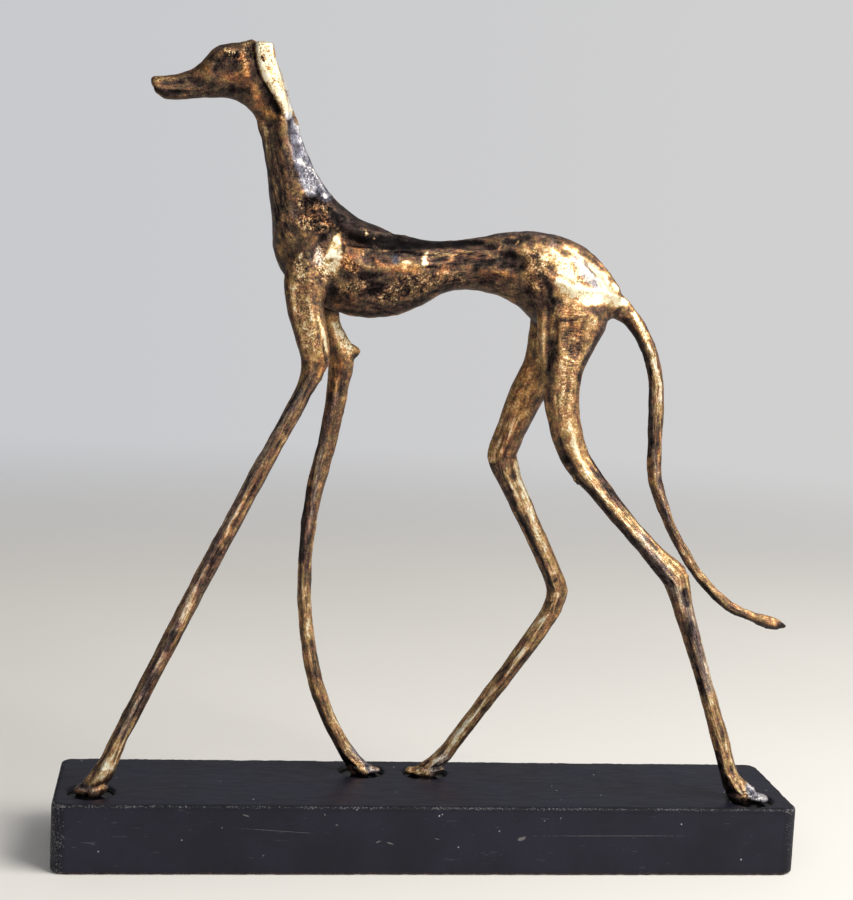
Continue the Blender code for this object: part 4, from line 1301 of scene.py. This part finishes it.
def carve_casting(skin, settings):
    """Facets, lumps, tool ridges, grooves and folds."""
    for facet in FACETS.values():
        for side in (-1, 1):
            skin.shave(*facet, side)
    for facet in LEFT_FACETS.values():
        skin.shave(*facet, -1)

    for part in LIMBS:
        for degrees, depth in PARED_SIDES:
            skin.whittle(part, degrees, depth, 5.0)

    normal = skin.normals()
    on_limb = np.isin(skin.part, LIMBS)
    height = skin.noise(9.0, 3.0) * 0.8 + skin.noise(4.0, 7.0) * 0.5
    height = height * settings.lumps / MM * np.where(on_limb, 0.6, 1.0)
    ridged = skin.noise(3.0, 31.0, skin.grain) * 0.7 + skin.noise(1.5, 41.0, skin.grain) * 0.4
    height += ridged * settings.ridges / MM * skin.sureness * np.where(on_limb, 1.0, 0.45)
    rough_feet = smooth_step((ROUGH_FEET_TOP - skin.co[:, 2]) / ROUGH_FEET_FADE)
    height += skin.noise(2.2, 53.0, skin.grain) * 0.3 * rough_feet
    crumbs = skin.noise(2.4, 61.0) * 0.45 + skin.noise(1.3, 67.0) * 0.3
    flank = skin.co[:, ::2]
    for strength, points in CRUMBLED.values():
        height += crumbs * skin.cover(flank, BODY, CRUMBLED_SOFTNESS, points) * strength
    for part, depth, width, side, line in GROOVES.values():
        points = [(x, z, 0.0) for x, z in line]
        height -= depth * skin.cover(flank, part, width * 2.4, points, side, 0.5)
    skin.co += normal * height[:, None]


def paint_casting(skin):
    """Stores where each finish lies, painted highlights, shade and reflection included, how the grain runs
    and how far each point stands out.
    """
    normal = skin.normals()
    stand_out = 0.0
    for rounds, weight in ((4, 1.0), (14, 0.55)):
        stand_out = stand_out + ((skin.co - skin.spread(skin.co, rounds)) * normal).sum(axis=1) * weight
    skin.store("hollow", np.clip(stand_out / 0.16, -1.0, 1.0))
    skin.store("grain", skin.grain * MM)
    ground = np.zeros(skin.count)
    for part, share in TONE_GROUND.items():
        ground[skin.part == part] = share
    ground = skin.spread(ground, 10)
    photo = skin.in_photo() * PIXEL_SIZE
    for name, areas in STROKES.items():
        layer = ground.copy() if name == "tone" else np.zeros(skin.count)
        for parts, strokes in areas.values():
            for value, soft, *places in strokes:
                points = [tuple(number * PIXEL_SIZE for number in place) for place in places]
                covered = skin.cover(photo, parts, soft * PIXEL_SIZE, points)
                laid = layer + covered * (value - layer)
                layer = laid if name == "tone" else np.maximum(layer, covered * value)
        if name == "tone":
            # Painted shade: the tone is made darker where the skin faces down, more on the limbs than on the
            # trunk
            layer *= 1.0 - smooth_step(-normal[:, 2] * 1.5) * np.where(np.isin(skin.part, LIMBS), 0.72, 0.3)
        skin.store(name, layer * skin.sureness if name == "streak" else layer)


def surround(hole, co):
    """Distance of each point from a hole's middle."""
    return np.hypot(co[:, 0] - hole[0], co[:, 1] - hole[1])


def weather_block(skin, settings):
    """Dents the edges, levels the filler in the holes and stores where each lies."""
    low, high = np.array(BLOCK_LOW) / MM, np.array(BLOCK_HIGH) / MM
    normal = skin.normals()
    x, y, z = skin.co.T
    corner = settings.corner / MM
    inner_x, inner_y = high[0] - corner, high[1] - corner
    over = np.hypot(np.maximum(np.abs(x) - inner_x, 0.0), np.maximum(np.abs(y) - inner_y, 0.0))
    to_side = np.where(
        (np.abs(x) > inner_x) & (np.abs(y) > inner_y), corner - over,
        np.minimum(high[0] - np.abs(x), high[1] - np.abs(y)))
    to_top, to_foot = high[2] - z, z - low[2]
    top_rim = 1.0 - smooth_step(np.hypot(np.maximum(to_side, 0), np.maximum(to_top, 0)) / 2.6)
    foot_rim = 1.0 - smooth_step(np.hypot(np.maximum(to_side, 0), np.maximum(to_foot, 0)) / 3.2)
    upright = (1.0 - smooth_step((to_side - 0.2) / 1.2)) * smooth_step(
        (np.abs(x) - inner_x + 1.0) / 2.0) * smooth_step((np.abs(y) - inner_y + 1.0) / 2.0)

    height = skin.noise(26.0, 5.0) * 0.07 + skin.noise(8.0, 9.0) * 0.03
    height -= np.maximum(skin.noise(7.0, 13.0), 0.0) * 0.4 * top_rim
    height -= (skin.noise(2.0, 19.0) + 0.6) * 0.14 * top_rim
    height -= np.maximum(skin.noise(3.0, 17.0), 0.0) * 0.5 * foot_rim
    filled = np.zeros(skin.count)
    foot_ring = np.zeros(skin.count)
    radius, sink = settings.hole / MM, settings.sink / MM
    uneven = skin.noise(3.4, 71.0)
    for hole, foot in HOLES.values():
        inside = (surround(hole, skin.co) < radius + 0.4) & (to_top > 0.6) & (to_top < 3.4)
        filled[inside] = 1.0
        from_foot = surround(foot, skin.co)
        climb = np.exp(-np.maximum(from_foot - 4.6, 0.0) / 1.6)
        level = high[2] - sink + climb * 0.9 + uneven * 0.16
        skin.co[inside, 2] = level[inside]
        lip = np.exp(-((surround(hole, skin.co) - radius) / 0.9) ** 2) * (to_top < 0.5)
        height -= lip * np.maximum(uneven, 0.0) * 0.3
        foot_ring = np.maximum(foot_ring, lip)
    height[filled > 0.5] = 0.0
    skin.co += normal * height[:, None]
    skin.co = np.clip(skin.co, low, high)
    skin.store("filled", filled)
    skin.store("rim", np.clip(top_rim + upright * 0.6 + foot_ring * 0.35 + foot_rim * 0.4, 0.0, 1.0))
    skin.store("foot", foot_rim)


class GREYHOUND_OT_casting(bpy.types.Operator):
    """Model the gilded greyhound over the CAD casting."""

    bl_idname = "greyhound.casting"
    bl_label = "Casting"

    def execute(self, context):
        settings = context.scene.greyhound_casting
        casting = casting_copy()
        extra = [add_ear(-1), add_ear(1)] + [add_blob(*blob) for blob in BLOBS.values()]
        make_active(casting)
        for blob in extra:
            blob.select_set(True)
        bpy.ops.object.join()
        apply_modifier(casting, "REMESH", mode="VOXEL", voxel_size=settings.voxel)
        apply_modifier(casting, "SMOOTH", factor=0.5, iterations=settings.softening)
        skin = CastingSkin(casting)
        carve_casting(skin, settings)
        paint_casting(skin)
        skin.write()
        give_material(casting, gilded_patina(settings))
        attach(casting, "root")
        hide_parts("greyhound")
        return {"FINISHED"}


class GREYHOUND_OT_block(bpy.types.Operator):
    """Model the painted block with its filled holes."""

    bl_idname = "greyhound.block"
    bl_label = "Block"

    def execute(self, context):
        settings = context.scene.greyhound_block
        size, middle = BLOCK_HIGH - BLOCK_LOW, (BLOCK_HIGH + BLOCK_LOW) / 2
        deselect()
        bpy.ops.mesh.primitive_cube_add(size=1.0, location=middle, scale=size)
        block = bpy.context.object
        block.name = "painted_block"
        apply_place(block)
        for upright, width, segments in ((True, settings.corner, 8), (False, settings.edge, 4)):
            bpy.ops.object.mode_set(mode="EDIT")
            bpy.ops.mesh.select_mode(type="EDGE")
            bpy.ops.mesh.select_all(action="DESELECT")
            shape = bmesh.from_edit_mesh(block.data)
            for edge in shape.edges:
                rise = abs(edge.verts[0].co.z - edge.verts[1].co.z)
                edge.select = rise > size.z / 2 if upright else rise < settings.edge / 2
            bmesh.update_edit_mesh(block.data)
            bpy.ops.mesh.bevel(offset=width, segments=segments, affect="EDGES")
            bpy.ops.object.mode_set(mode="OBJECT")
        depth, above = 2.4 * MM, 4.0 * MM
        for (x, y), _ in HOLES.values():
            deselect()
            bpy.ops.mesh.primitive_cylinder_add(
                vertices=64, radius=settings.hole, depth=depth + above,
                location=(x * MM, y * MM, BLOCK_HIGH.z + (above - depth) / 2))
            cutter = bpy.context.object
            apply_place(cutter)
            apply_modifier(block, "BOOLEAN", operation="DIFFERENCE", solver="EXACT", object=cutter)
            bpy.data.objects.remove(cutter)
        apply_modifier(block, "REMESH", mode="VOXEL", voxel_size=settings.voxel)
        skin = Skin(block)
        weather_block(skin, settings)
        skin.write()
        give_material(block, satin_paint(settings))
        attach(block, "root")
        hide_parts("plinth")
        return {"FINISHED"}


def camera_pose():
    """The photograph's camera as a matrix."""
    across, upward, ahead = camera_axes()
    turn = Matrix((across, upward, -ahead)).transposed()
    return Matrix.Translation(CAMERA_PLACE) @ turn.to_4x4()


def add_light(name, place, target, size, power, tint=(1.0, 1.0, 1.0)):
    """A square soft light that faces the target."""
    deselect()
    bpy.ops.object.light_add(type="AREA", location=place)
    lamp = bpy.context.object
    lamp.name = name
    lamp.data.shape = "SQUARE"
    lamp.data.size = size
    lamp.data.energy = power
    lamp.data.color = tint
    lamp.rotation_euler = (Vector(target) - Vector(place)).to_track_quat("-Z", "Y").to_euler()


def room_light(settings):
    """A pale backdrop for the camera, and a room that is darker on the left for what it lights."""
    world = bpy.data.worlds.new("room")
    bpy.context.scene.world = world
    shader = Shader(world)
    x, y, z = shader.axes(shader.node("ShaderNodeTexCoord", output="Generated"))
    seen = shader.node("ShaderNodeLightPath", output="Is Camera Ray")
    wall = y.step(-0.1, 0.45)
    wall_glow = 0.34 + x.step(-0.4, 0.8) * 0.2
    front_glow = 0.04 + x.step(-0.35, 0.9) * 0.5 + z.step(0.2, 1.0) * 0.35
    backdrop = 0.94 + x.step(-0.6, 0.6) * 0.12
    glow = (wall * wall_glow + (1.0 - wall) * front_glow) * (1.0 - seen) + backdrop * seen
    tinted = shader.mix(x.step(-0.5, 0.8), (0.93, 0.95, 1.0, 1.0), (1.0, 0.985, 0.965, 1.0))
    made = shader.node("ShaderNodeBackground", {}, {"Color": tinted, "Strength": glow * settings.sky})
    shader.node("ShaderNodeOutputWorld", {}, {"Surface": made})


class GREYHOUND_OT_stage(bpy.types.Operator):
    """Make the pale floor, the soft lights and the camera."""

    bl_idname = "greyhound.stage"
    bl_label = "Stage"

    def execute(self, context):
        settings = context.scene.greyhound_stage
        deselect()
        bpy.ops.mesh.primitive_circle_add(vertices=96, radius=4.0, fill_type="NGON")
        floor = bpy.context.object
        floor.name = "floor"
        floor.data.materials.append(pale_floor(settings))
        aim = (0.0, 0.0, 0.2)
        add_light("key", (0.85, -0.55, 1.05), aim, 1.0, settings.key, (1.0, 0.98, 0.94))
        add_light("fill", (-0.5, -1.3, 0.8), aim, 1.0, settings.fill, (0.96, 0.98, 1.0))
        room_light(settings)
        deselect()
        bpy.ops.object.camera_add()
        camera = bpy.context.object
        camera.name = "camera"
        camera.matrix_world = camera_pose()
        camera.data.sensor_width = SENSOR_WIDTH
        camera.data.lens = SENSOR_WIDTH * FOCAL_LENGTH / PHOTO_HEIGHT
        camera.data.clip_start = 0.01
        camera.data.clip_end = 50.0
        context.scene.camera = camera
        context.scene.view_settings.view_transform = "Standard"
        return {"FINISHED"}


class GREYHOUND_PT_panel(bpy.types.Panel):
    """Makes each piece again."""

    bl_label = "Greyhound"
    bl_idname = "GREYHOUND_PT_panel"
    bl_space_type = "VIEW_3D"
    bl_region_type = "UI"
    bl_category = "Greyhound"

    def draw(self, context):
        for operator, group in (
            (GREYHOUND_OT_casting, context.scene.greyhound_casting),
            (GREYHOUND_OT_block, context.scene.greyhound_block),
            (GREYHOUND_OT_stage, context.scene.greyhound_stage),
        ):
            box = self.layout.box()
            box.operator(operator.bl_idname)
            for name in group.bl_rna.properties.keys():
                if name not in ("rna_type", "name"):
                    box.prop(group, name)


CLASSES = (
    CastingSettings, BlockSettings, StageSettings,
    GREYHOUND_OT_casting, GREYHOUND_OT_block, GREYHOUND_OT_stage,
    GREYHOUND_PT_panel,
)


def register():
    for item in CLASSES:
        bpy.utils.register_class(item)
    bpy.types.Scene.greyhound_casting = PointerProperty(type=CastingSettings)
    bpy.types.Scene.greyhound_block = PointerProperty(type=BlockSettings)
    bpy.types.Scene.greyhound_stage = PointerProperty(type=StageSettings)


def unregister():
    for name in ("greyhound_casting", "greyhound_block", "greyhound_stage"):
        delattr(bpy.types.Scene, name)
    for item in reversed(CLASSES):
        bpy.utils.unregister_class(item)


def main():
    register()
    bpy.ops.greyhound.casting()
    bpy.ops.greyhound.block()
    bpy.ops.greyhound.stage()


if __name__ == "__main__":
    main()
